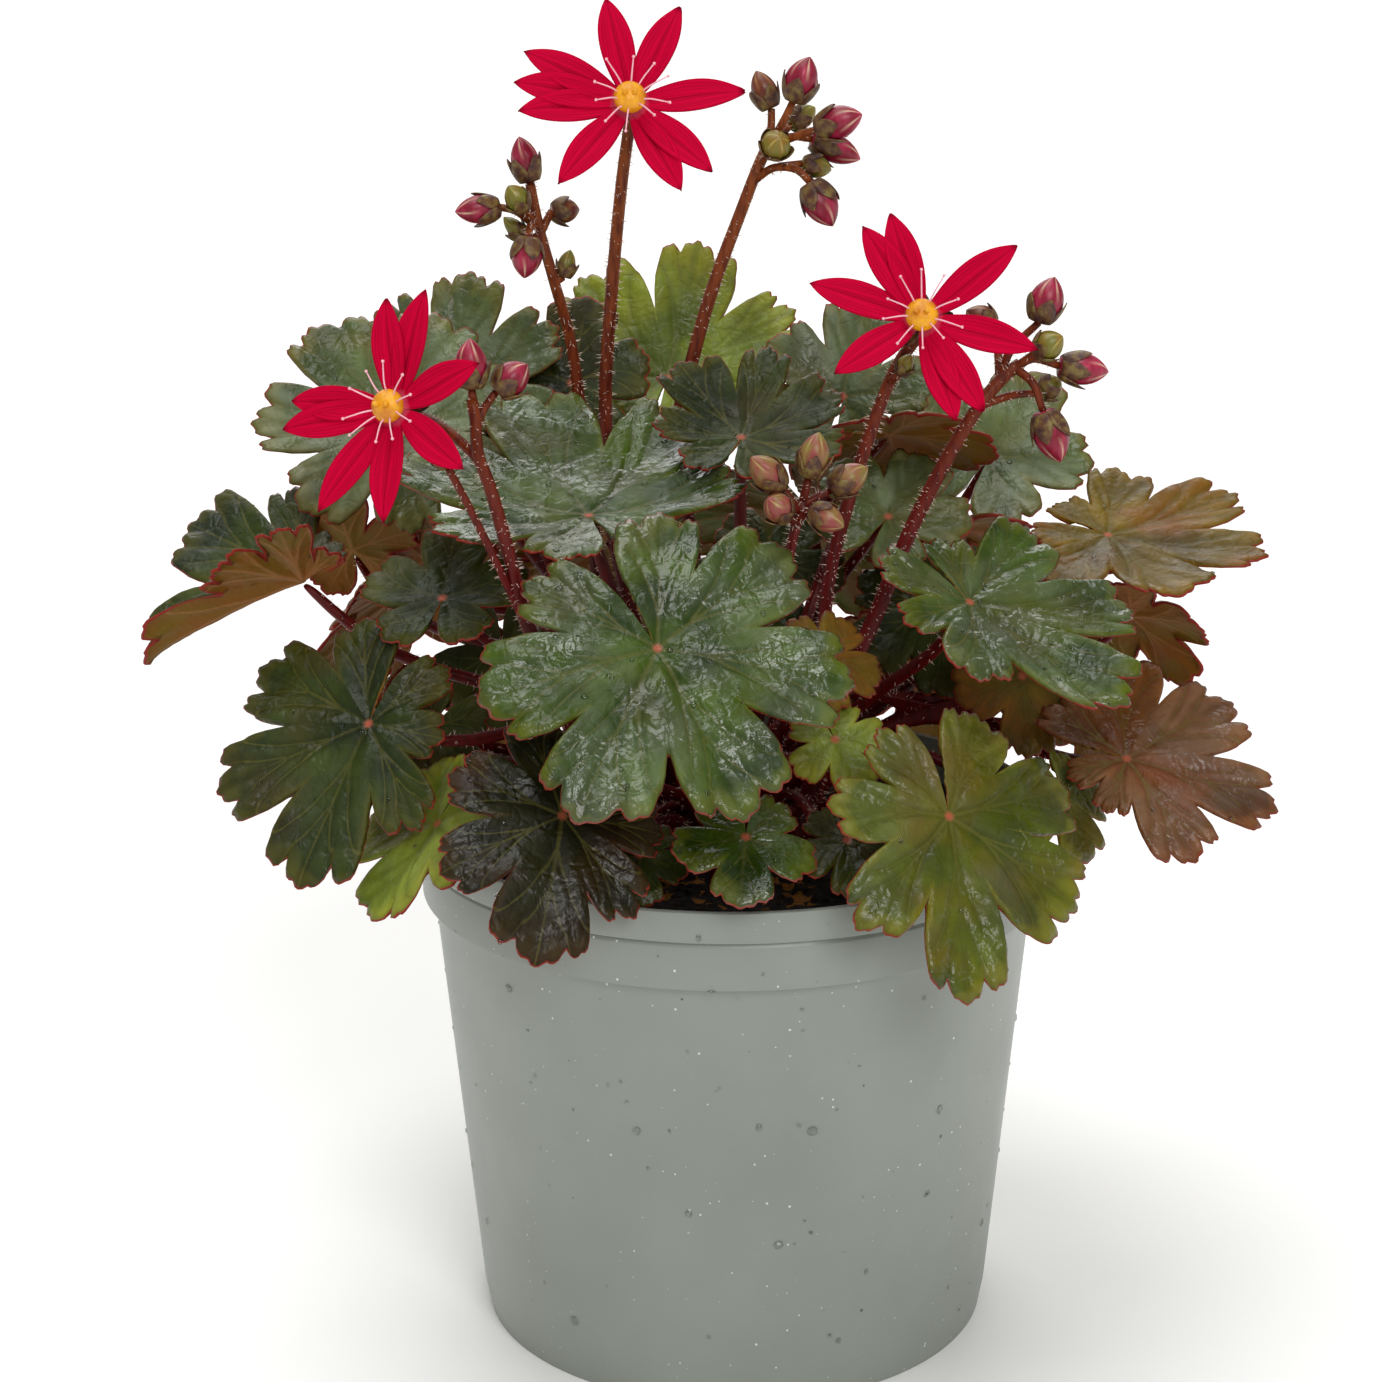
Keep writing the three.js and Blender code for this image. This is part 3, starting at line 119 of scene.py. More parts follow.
SPRAYS = [
    {
        "name": "bloom_stalk_top",
        "foot": (-12, 18),
        "route": [(-16, 20, 125), (-24.5, 19, 163), (-26, 18, 192), (-24, 13, 218), (-21.5, 8, 240)],
        "radius": (1.7, 1.2),
        "branches": [],
        "bloom": 0,
    },
    {
        "name": "spray_top_left",
        "foot": (-22, 17),
        "route": [
            (-27, 22, 140), (-30.5, 22, 180), (-33, 18, 205), (-36, 12, 219), (-38.5, 9, 230),
            (-40, 8, 238.5),
        ],
        "radius": (1.8, 1),
        "branches": [
            ([(-40, 8, 236), (-40, 8, 239)], (-42, 8, 248), 5.6, "crimson"),
            ([(-39, 9, 230), (-43, 6, 233.5), (-46, 4, 234.5)], (-54.6, 1, 234), 5.6, "crimson"),
            ([(-39, 9, 230), (-41, 4, 234)], (-44, 2, 239), 4.8, "green"),
            ([(-38, 9, 229), (-36, 11, 232.7)], (-30.4, 13, 232.7), 5, "brown"),
            ([(-39, 9, 230), (-40, 4, 230.5), (-40, 1, 229)], (-41, -1, 221), 6.2, "crimson"),
            ([(-36, 12, 218), (-34, 13, 219)], (-32.5, 14, 224.5), 3.6, "green"),
            ([(-38, 10, 228), (-41, 8, 227.5)], (-45.5, 8, 232), 3.4, "green"),
        ],
    },
    {
        "name": "spray_top_right",
        "foot": (-6, 27),
        "route": [
            (-13, 26, 135), (-15, 25, 170), (-13, 23, 180), (-4.5, 20, 213), (2, 18, 231),
            (6, 16, 241.5), (8, 14, 246),
        ],
        "radius": (2, 1.2),
        "branches": [
            ([(7, 15, 243), (8.5, 12, 244.5)], (10, 8, 247.5), 6, "green"),
            ([(7.5, 15, 244), (8.3, 18, 248), (8.4, 19, 252)], (5.3, 20, 259.5), 5.2, "brown"),
            ([(8, 15, 245), (11, 14, 250.5), (12.7, 14, 254)], (16, 13, 262.8), 6.6, "crimson"),
            ([(8, 15, 245), (12.3, 19, 248.7)], (17.3, 21.5, 252), 4.6, "green"),
            ([(8, 14, 245), (13.4, 11, 247.4), (17.2, 9, 248.9)], (26.2, 6, 252.1), 6.6, "crimson"),
            ([(8, 15, 244), (12, 17, 246.5), (16.5, 18.5, 246)], (26.5, 20, 241.6), 5.8, "crimson"),
            (
                [(5, 17, 238), (9, 14, 240.8), (13.5, 12, 240.5), (16, 11, 238.2)],
                (20.6, 9, 229.6), 7, "crimson",
            ),
            ([(10, 13.5, 241), (14.5, 14.5, 241.5)], (20.5, 15.5, 240), 4.6, "green"),
        ],
    },
    {
        "name": "spray_left",
        "foot": (-22, -15),
        "route": [
            (-27, -23, 122), (-39.8, -36, 160), (-42.5, -38, 173), (-46, -40, 188),
            (-48, -40, 194), (-48.3, -39, 200), (-49, -38, 204),
        ],
        "radius": (2, 1.1),
        "branches": [
            ([(-48.6, -38, 202), (-49, -38, 206)], (-49, -38, 215.5), 6.2, "crimson"),
            ([(-48.2, -39.5, 197), (-47.3, -37, 201), (-44.5, -36, 205)], (-38.4, -35, 210), 6.4, "crimson"),
            (
                [(-34, -30, 142), (-44, -39, 170), (-51, -43, 187), (-53.5, -43, 192)],
                (-56, -43, 195.5), 3, "green",
            ),
        ],
        "pedicel": [(-48, -40, 193), (-53.4, -36, 197), (-58, -32, 199)],
        "bloom": 1,
    },
    {
        "name": "bloom_stalk_right",
        "foot": (17, -7),
        "route": [(18, -10, 130), (19, -12, 158), (20.5, -12, 167), (27, -9, 189), (33, -6, 204)],
        "radius": (1.6, 1.2),
        "branches": [([(31.5, -7, 201), (33.4, -9.2, 203)], (35.5, -10, 207), 3.2, "green")],
        "bloom": 2,
    },
    {
        "name": "spray_right",
        "foot": (13, -23),
        "route": [
            (15, -22, 118), (20, -20, 136.7), (29, -17, 156.5), (37, -14, 175.5),
            (48.5, -12, 196.4), (54, -10, 202.6), (57, -9, 204.8),
        ],
        "radius": (2, 1.3),
        "branches": [
            ([(53, -10, 202), (55.2, -9, 207.5), (60.6, -9, 213)], (63.5, -9, 222), 6.8, "crimson"),
            ([(56, -9, 204), (60, -12, 207.7)], (64.8, -14.5, 211.2), 5.6, "green"),
            ([(56, -9, 204), (59.7, -8, 205.6), (65, -7, 204)], (75, -6, 202.5), 6.4, "crimson"),
            ([(49, -12, 197), (55.6, -9, 198.5), (61.7, -4, 198)], (66, -2, 200.2), 5, "green"),
            ([(56, -9, 204), (59.4, -12, 201.5), (61.4, -13, 196.2)], (65, -14, 186), 7, "crimson"),
            ([(53, -10, 202), (52.9, -6, 207), (52.3, -3, 211)], (46.8, -2, 214.4), 5.8, "brown"),
        ],
    },
    {
        "name": "spray_centre",
        "foot": (-3, -25),
        "route": [
            (0, -21, 125), (5, -20, 151.5), (7.6, -22, 160), (11, -25, 169), (12, -26, 174),
            (14, -27, 181.5),
        ],
        "radius": (1.6, 1),
        "branches": [
            ([(13, -27, 179), (11.4, -28, 182), (9.8, -29, 184.5)], (3.8, -31, 191), 6, "pink"),
            ([(13.8, -27, 181), (15, -27, 186)], (17, -27, 195), 6, "pink"),
            ([(13.8, -27, 180.5), (16.8, -26, 182), (19.2, -25, 183)], (26.6, -24, 187.4), 6, "pink"),
            ([(12.6, -27, 177), (10.7, -31, 179.5)], (7, -34, 183.6), 5.8, "pink"),
            ([(12.6, -27, 177.5), (15.4, -30, 180.3)], (21.7, -33, 177.6), 5.4, "pink"),
        ],
    },
]

# Petal angles run anticlockwise from the bloom's right-hand side, seen from the front
BLOOMS = [
    {
        "name": "top",
        "centre": (-19.6, 0.6, 255),
        "face": -88,
        "tilt": 62,
        "petals": [
            (3, 22.5), (62, 21.5), (102, 21.5), (154, 23), (171, 23), (186, 22), (231, 22.5),
            (297, 21.5), (316, 22),
        ],
    },
    {
        "name": "left",
        "centre": (-63.4, -38.2, 202.3),
        "face": -112,
        "tilt": 72,
        "petals": [
            (28, 20), (78, 23), (99, 20.5), (181, 21), (195, 23), (239, 24.5), (274, 22), (328, 20),
        ],
    },
    {
        "name": "right",
        "centre": (37.4, -13.2, 214.5),
        "face": -95,
        "tilt": 66,
        "petals": [
            (38, 23), (108, 21.5), (124, 21.5), (164, 23), (215, 20.5), (289, 22), (303, 22.5),
            (344, 23.5),
        ],
    },
]

# The share of its reach that each lobe of a leaf has, on one with seven lobes and on one with five
USUAL_SHARES = {7: (0.72, 0.86, 0.96, 1, 0.96, 0.86, 0.72), 5: (0.76, 0.9, 1, 0.9, 0.76)}
# A lobe of the solids: how far across it a tooth or notch is, and the share of the lobe's length there
TEETH = {
    7: [(-1, 0.64), (-0.7, 0.9), (-0.4, 0.88), (0, 1), (0.4, 0.88), (0.7, 0.9)],
    5: [(-1, 0.6), (-0.55, 0.94), (0, 1), (0.55, 0.94)],
}
FIVE = {"lobes": 5}

# A row gives where the blade joins its stalk, the compass angle and lean of its upper side, the turn of
# its middle lobe, its reach, how far its rim rises or droops, its finish, and what isn't as usual.
LEAVES = [
    # on the front
    ((-14, -52, 159), -83, 46, 25, 37.5, -1, "wet", {"shares": (0.75, 0.9, 0.97, 0.97, 0.97, 0.9, 0.8)}),
    ((46.5, -30, 162), -53, 34, 18, 35, 6, "wet", {"shares": (0.55, 0.5, 0.6, 1.02, 0.95, 0.78, 0.48)}),
    ((41, -60, 128), -60, 54, -8, 31, -2, "olive", {"shares": (0.66, 0.76, 0.9, 1.1, 1, 0.94, 0.78)}),
    ((-32, -62, 129), -66, 49, -26, 25, -2, "dusky", {"shares": (0.85, 0.88, 1, 1.12, 0.88, 0.8, 0.6)}),
    ((-71, -38, 140), -111, 47, -10, 31, -1, "deep", {"shares": (0.8, 0.95, 1.04, 1.08, 0.8, 0.5, 0.6)}),
    ((80, -15, 125), -85, 38, 73, 29, -2, "bronze", {"shares": (0.42, 0.45, 0.85, 1.05, 0.96, 0.96, 0.7)}),
    ((-28.3, -13, 175.6), -93, 14, 203, 38, 9, "wet", {"shares": (0.55, 0.8, 1, 1.08, 1, 0.85, 0.6)}),
    (
        (-87, -8, 161.5), 178, 20, 6, 36, -3, "deep",
        {"shares": (0.3, 0.6, 0.85, 0.96, 0.58, 0.6, 0.3), "fold": 38},
    ),
    ((78.5, 15, 164.5), -76, 16, 54, 32, 5, "rust", {"shares": (0.5, 0.86, 0.96, 1, 0.96, 0.8, 0.5)}),
    ((2.5, -60, 124), -77, 34, -13, 15.5, 0, "wet", FIVE),
    ((-57, -50, 123.5), -144, 45, 4, 22, 2, "fresh", FIVE),
    # on the top
    ((2, 10.5, 185.4), -88, 28, 164, 21, 5, "deep", {"shares": (0.75, 1, 1.04, 1.08, 1.04, 0.8, 0.7)}),
    ((-14, 52, 191), -98, 46, 172, 31, 5, "fresh", {"shares": (0.8, 0.94, 0.98, 1.06, 1, 0.8, 0.6)}),
    ((-68, 15, 187), -78, 48, 209, 31, 0, "grey", {}),
    ((-60, 34, 190), -105, 58, 180, 28, 2, "grey", {}),
    ((-34, 36, 193), -90, 60, 175, 19, 0, "deep", FIVE),
    ((24, 42, 188.5), -90, 62, 165, 21, 0, "grey", {"lobes": 5, "fold": 18}),
    ((32, 2, 171.5), -90, 34, 150, 19, 1, "grey", {"lobes": 5, "fold": 6}),
    ((33, 24, 184), 90, 34, -80, 22, -3, "rust", FIVE),
    ((56, 44, 175), -90, 48, 150, 24, 1, "grey", {"lobes": 5, "fold": 6}),
    ((47, 24, 164), 100, 34, -70, 19, -3, "rust", FIVE),
    # in the gaps
    ((86, 30, 143), 60, 50, -30, 20, -2, "rust", FIVE),
    ((-57.5, -20, 160.5), -100, 32, 180, 19, 2, "deep", FIVE),
    ((-80, 16, 162), 90, 60, 170, 17, -1, "rust", FIVE),
    ((-64, 24, 158), 90, 50, 200, 17, -1, "rust", FIVE),
    ((18, -30, 151), -60, 50, 60, 13, 0, "rust", FIVE),
    ((67, -12, 116.5), -50, 55, 0, 14, -1, "olive", FIVE),
    ((22, -52, 120.5), -80, 42, 0, 12, 0, "deep", FIVE),
    ((20, -40, 137), -80, 45, 20, 12, 0, "fresh", FIVE),
    ((-18, -50, 117), -90, 45, 0, 11, 0, "deep", FIVE),
    # on the back
    ((60, 66, 144), 46, 48, 10, 33, -4, "olive", {}),
    ((18, 68, 158), 78, 46, -14, 35, -4, "wet", {}),
    ((-28, 72, 150), 110, 50, 8, 34, -4, "deep", {}),
    ((-68, 52, 144), 142, 50, -6, 31, -4, "bronze", {}),
    ((42, 72, 120), 60, 66, -8, 25, -3, "bronze", FIVE),
    ((-8, 78, 122), 96, 66, 6, 25, -3, "olive", FIVE),
    ((-50, 66, 120), 128, 64, 0, 23, -3, "deep", FIVE),
    ((76, 36, 120), 26, 58, 4, 21, -3, "dusky", FIVE),
    ((-80, 16, 124), 168, 60, 0, 21, -3, "olive", FIVE),
    # deep inside
    ((-48, 8, 142), -100, 52, 10, 18, -1, "deep", FIVE),
    ((-60, -22, 134), -110, 50, -20, 15, -1, "deep", FIVE),
    ((40, 10, 150), -80, 54, 15, 19, -1, "deep", FIVE),
    ((60, 0, 138), -70, 50, -10, 17, -1, "rust", FIVE),
    ((8, 20, 158), -90, 55, 0, 18, -1, "deep", FIVE),
]


def linear(code):
    """An sRGB hex colour as linear red, green and blue."""
    values = [int(code[i:i + 2], 16) / 255 for i in (0, 2, 4)]
    return [v / 12.92 if v <= 0.04045 else ((v + 0.055) / 1.055) ** 2.4 for v in values]


def rgba(colour):
    """A linear colour with full opacity, as colour sockets want it."""
    return (*colour, 1)


def node(tree, kind, inputs=None, out=0, stops=(), **settings):
    """Adds a node with its settings and gives back one output. An input is a value or a socket."""
    made = tree.nodes.new("ShaderNode" + kind)
    for key, value in settings.items():
        setattr(made, key, value)
    for key, value in (inputs or {}).items():
        if isinstance(value, bpy.types.NodeSocket):
            tree.links.new(value, made.inputs[key])
        else:
            made.inputs[key].default_value = value
    for i, (position, colour) in enumerate(stops):
        elements = made.color_ramp.elements
        stop = elements[i] if i < 2 else elements.new(position)
        stop.position = position
        stop.color = rgba(colour)
    return made.outputs[out] if made.outputs else None


def new_material(name, **sockets):
    """A material with its tree and its Principled shader, whose constant sockets are set here."""
    material = bpy.data.materials.new(name)
    material.use_nodes = True
    tree = material.node_tree
    tree.nodes.clear()
    surface = node(tree, "BsdfPrincipled", {key.replace("_", " "): value for key, value in sockets.items()})
    node(tree, "OutputMaterial", {"Surface": surface})
    return material, tree, surface.node


def connect(shader, **sockets):
    """Links outputs to the shader's sockets."""
    for key, output in sockets.items():
        shader.id_data.links.new(output, shader.inputs[key.replace("_", " ")])


def darker(colour, share):
    """A colour at a share of its brightness."""
    return [share * c for c in colour]


# Shapes


def to_mesh(name, bm, scale=1):
    """Turns a bmesh into a mesh, at a scale."""
    if scale != 1:
        bmesh.ops.scale(bm, vec=(scale, scale, scale), verts=bm.verts)
    mesh = bpy.data.meshes.new(name)
    bm.to_mesh(mesh)
    bm.free()
    return mesh


def lathe(profile, steps):
    """A closed shape turned about the upright axis, from the radius and height of its profile's points."""
    bm = bmesh.new()
    verts = [bm.verts.new((r, 0, z)) for r, z in profile]
    edges = [bm.edges.new(pair) for pair in zip(verts, verts[1:])]
    bmesh.ops.spin(
        bm, geom=verts + edges, cent=(0, 0, 0), axis=(0, 0, 1), angle=2 * math.pi, steps=steps,
        use_merge=True,
    )
    bmesh.ops.remove_doubles(bm, verts=bm.verts, dist=0.001)
    bmesh.ops.recalc_face_normals(bm, faces=bm.faces)
    return bm


def add_piece(name, mesh, materials, replaced=()):
    """Makes a mesh, or a bmesh in millimetres, a piece of the object."""
    if isinstance(mesh, bmesh.types.BMesh):
        mesh = to_mesh(name, mesh, MM)
    mesh.shade_smooth()
    for material in materials:
        mesh.materials.append(material)
    piece = bpy.data.objects.new(name, mesh)
    bpy.context.scene.collection.objects.link(piece)
    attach(piece, "root")
    if replaced:
        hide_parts(*replaced)
    return piece


def apply_modifiers(piece):
    """Makes the piece's mesh what its modifiers show."""
    depsgraph = bpy.context.evaluated_depsgraph_get()
    mesh = bpy.data.meshes.new_from_object(piece.evaluated_get(depsgraph))
    piece.modifiers.clear()
    piece.data = mesh


def smooth_curve(points, spacing):
    """Points about one spacing apart on a smooth curve through the given ones, as the solids' stalks have."""
    points = [np.array(p, float) for p in points]
    points = [2 * points[0] - points[1], *points, 2 * points[-1] - points[-2]]
    line = []
    for p0, p1, p2, p3 in zip(points, points[1:], points[2:], points[3:]):
        gaps = [max(np.linalg.norm(b - a) ** 0.5, 1e-3) for a, b in ((p0, p1), (p1, p2), (p2, p3))]
        start = (p1 - p0) / gaps[0] - (p2 - p0) / (gaps[0] + gaps[1]) + (p2 - p1) / gaps[1]
        finish = (p2 - p1) / gaps[1] - (p3 - p1) / (gaps[1] + gaps[2]) + (p3 - p2) / gaps[2]
        start, finish = start * gaps[1], finish * gaps[1]
        steps = max(2, round(np.linalg.norm(p2 - p1) / spacing))
        for t in np.arange(steps) / steps:
            line.append(
                (2 * t**3 - 3 * t**2 + 1) * p1 + (t**3 - 2 * t**2 + t) * start
                + (3 * t**2 - 2 * t**3) * p2 + (t**3 - t**2) * finish
            )
    line.append(points[-2])
    return np.array(line)


def add_tube(bm, line, radii, sides):
    """A closed tube along a line, made of a cylinder whose rings are moved to the line's points."""
    last = len(line) - 1
    tube = bmesh.new()
    bmesh.ops.create_cone(tube, cap_ends=True, segments=sides, radius1=1, radius2=1, depth=2 * last)
    uprights = [e for e in tube.edges if abs(e.verts[0].co.z - e.verts[1].co.z) > 1]
    bmesh.ops.subdivide_edges(tube, edges=uprights, cuts=last - 1)
    forward = np.gradient(line, axis=0)
    forward /= np.linalg.norm(forward, axis=1)[:, None]
    across = np.cross(forward[0], (0.31, 0.95, 0.05))
    frames = []
    for i in range(last + 1):
        across = across - forward[i] * (across @ forward[i])
        across /= np.linalg.norm(across)
        frames.append((across, np.cross(forward[i], across)))
    for vert in tube.verts:
        i = round((vert.co.z + last) / 2)
        side, other = frames[i]
        radius = radii[0] + (radii[1] - radii[0]) * i / last
        vert.co = line[i] + radius * (vert.co.x * side + vert.co.y * other)
    mesh = to_mesh("tube", tube)
    bm.from_mesh(mesh)
    bpy.data.meshes.remove(mesh)


def scatter(name, template, places):
    """Copies of a small bmesh at many places, as one mesh. A place is a 4 by 4 matrix in metres."""
    small = to_mesh(name, template)
    verts = np.empty(3 * len(small.vertices))
    small.vertices.foreach_get("co", verts)
    verts = np.c_[verts.reshape(-1, 3), np.ones(len(small.vertices))]
    loops = np.empty(len(small.loops), int)
    small.loops.foreach_get("vertex_index", loops)
    starts = np.empty(len(small.polygons), int)
    small.polygons.foreach_get("loop_start", starts)
    places = np.array(places)
    count = len(places)
    moved = np.einsum("nij,vj->nvi", places, verts)[:, :, :3]
    mesh = bpy.data.meshes.new(name)
    mesh.vertices.add(count * len(verts))
    mesh.vertices.foreach_set("co", moved.ravel())
    mesh.loops.add(count * len(loops))
    mesh.loops.foreach_set("vertex_index", (loops + len(verts) * np.arange(count)[:, None]).ravel())
    mesh.polygons.add(count * len(starts))
    mesh.polygons.foreach_set("loop_start", (starts + len(loops) * np.arange(count)[:, None]).ravel())
    mesh.update(calc_edges=True)
    bpy.data.meshes.remove(small)
    return mesh


def standing(place, up, size, turn=0.0):
    """The matrix that puts a shape at a place, with its Z along up and its size as given."""
    turned = Vector(up).to_track_quat("Z", "X").to_matrix().to_4x4()
    return Matrix.Translation(place) @ turned @ Matrix.Rotation(turn, 4, "Z") @ Matrix.Diagonal((*size, 1))


def in_open_air(spots, facing):
    """Where a piece stands out of the compost."""
    return spots[:, 2] > OPEN_AIR * MM


def surface_points(piece, count, draw, wanted):
    """Points spread evenly where a piece's surface is wanted, with its direction there, in metres."""
    mesh = piece.data
    mesh.calc_loop_triangles()
    corners = np.empty(3 * len(mesh.loop_triangles), int)
    mesh.loop_triangles.foreach_get("vertices", corners)
    verts = np.empty(3 * len(mesh.vertices))
    mesh.vertices.foreach_get("co", verts)
    triangles = verts.reshape(-1, 3)[corners.reshape(-1, 3)]
    faces = np.cross(triangles[:, 1] - triangles[:, 0], triangles[:, 2] - triangles[:, 0])
    area = np.linalg.norm(faces, axis=1)
    area = area * wanted(triangles.mean(1), faces / np.maximum(area, 1e-15)[:, None])
    chosen = draw.choice(len(area), count, p=area / area.sum())
    a, b = draw.random((2, count, 1))
    a, b = np.where(a + b > 1, 1 - a, a), np.where(a + b > 1, 1 - b, b)
    spots = triangles[chosen]
    points = spots[:, 0] + a * (spots[:, 1] - spots[:, 0]) + b * (spots[:, 2] - spots[:, 0])
    facing = faces[chosen] / np.linalg.norm(faces[chosen], axis=1)[:, None]
    return points, facing


def leaning_frame(face, tilt):
    """The directions down, sideways and out of a flat thing that leans by tilt towards a compass angle."""
    a, t = math.radians(face), math.radians(tilt)
    normal = np.array((math.sin(t) * math.cos(a), math.sin(t) * math.sin(a), math.cos(t)))
    down = np.array((math.cos(t) * math.cos(a), math.cos(t) * math.sin(a), -math.sin(t)))
    return down, np.cross(normal, down), normal


def bloom_matrix(bloom):
    """The bloom's own frame, in millimetres: Z out of its face and Y up it."""
    down, side, normal = leaning_frame(bloom["face"], bloom["tilt"])
    matrix = Matrix((side, -down, normal)).transposed().to_4x4()
    matrix.translation = bloom["centre"]
    return matrix


# Finishes


def water_finish():
    """Clean water in still drops: clear and very smooth, so it shows as small bright points."""
    return new_material(
        "water", Base_Color=(1, 1, 1, 1), Roughness=0.03, IOR=1.333, Transmission_Weight=1.0
    )[0]


def plastic_finish(colour):
    """Injection-moulded polypropylene: an even satin skin, with dried splashes and a little soil on it."""
    material, tree, shader = new_material("moulded polypropylene", IOR=1.49)
    place = node(tree, "TexCoord", out="Object")
    clouds = node(tree, "TexNoise", {"Vector": place, "Scale": 1 / 0.035, "Detail": 6.0})
    base = node(tree, "ValToRGB", {0: clouds}, stops=((0.3, colour), (0.7, darker(colour, 0.86))))
    # pale dots of dried water in drifts, then fewer dark ones of soil
    for width, rarest, drift, tone in ((0.0022, 0.12, 0.4, "c8d0ca"), (0.0032, 0.8, 0.48, "4b4a3e")):
        dots = node(tree, "TexVoronoi", {"Vector": place, "Scale": 1 / width}, out="Distance")
        size = node(tree, "SeparateColor", {0: dots.node.outputs["Color"]})
        cloud = node(tree, "TexNoise", {"Vector": place, "Scale": 1 / (8 * width), "Detail": 2.0})
        seen = node(tree, "MapRange", {"Value": cloud, "From Min": drift, "From Max": drift + 0.12})
        kept = node(tree, "MapRange", {"Value": size, "From Min": rarest, "From Max": 1.0, "To Max": 0.15})
        inside = node(tree, "Math", {0: kept, 1: dots}, operation="SUBTRACT")
        dot = node(tree, "MapRange", {"Value": inside, "From Max": 0.04})
        factor = node(tree, "Math", {0: dot, 1: seen}, operation="MULTIPLY")
        base = node(tree, "Mix", {0: factor, 6: base, 7: rgba(linear(tone))}, out=2, data_type="RGBA")
    shine = node(tree, "MapRange", {"Value": clouds, "To Min": 0.28, "To Max": 0.5})
    skin = node(tree, "TexNoise", {"Vector": place, "Scale": 1 / 0.0012, "Detail": 2.0})
    bump = node(tree, "Bump", {"Height": skin, "Strength": 0.1, "Distance": 0.0002})
    connect(shader, Base_Color=base, Roughness=shine, Normal=bump)
    return material


def compost_finish(colour):
    """Damp peat with fine bark: matt and almost black, with a few orange-brown crumbs."""
    material, tree, shader = new_material("damp peat", Roughness=0.85, Specular_IOR_Level=0.3)
    place = node(tree, "TexCoord", out="Object")
    grains = node(tree, "TexVoronoi", {"Vector": place, "Scale": 1 / 0.0022}, out="Distance")
    tone = node(tree, "SeparateColor", {0: grains.node.outputs["Color"]})
    stops = ((0.2, darker(colour, 0.4)), (0.9, darker(colour, 1.4)), (0.94, linear("8a5a1c")))
    base = node(tree, "ValToRGB", {0: tone}, stops=stops)
    bump = node(tree, "Bump", {"Height": grains, "Strength": 0.8, "Distance": 0.001})
    connect(shader, Base_Color=base, Normal=bump)
    return material


# For each finish of the upper side: its dark and light parts, its margin, its flush and how much of it,
# the roughness where it is wet and where it is dry, how strong its painted sheen is, and its film of water
LEAF_TONES = {
    "wet": ("1e3003", "42580e", "62680e", "4c4208", 0.4, 0.2, 0.42, 0.14, 0.75),
    "deep": ("182204", "36420a", "504c08", "442a08", 0.4, 0.36, 0.58, 0.03, 0.14),
    "fresh": ("4a5812", "84942c", "949424", "7a6414", 0.3, 0.34, 0.52, 0.05, 0.1),
    "olive": ("343c02", "5a6408", "7c760a", "6c4406", 0.4, 0.28, 0.5, 0.1, 0.35),
    "dusky": ("0c0c02", "202002", "402e08", "3a1a06", 0.4, 0.34, 0.56, 0.0, 0.2),
    "grey": ("38441e", "5e6c3c", "766a24", "6e5a1e", 0.4, 0.26, 0.46, 0.3, 0.25),
    "bronze": ("48260c", "74461e", "844e1c", "7c3a1a", 0.5, 0.28, 0.48, 0.14, 0.3),
    "rust": ("443402", "705a06", "84600a", "803c06", 0.6, 0.4, 0.58, 0.03, 0.08),
}


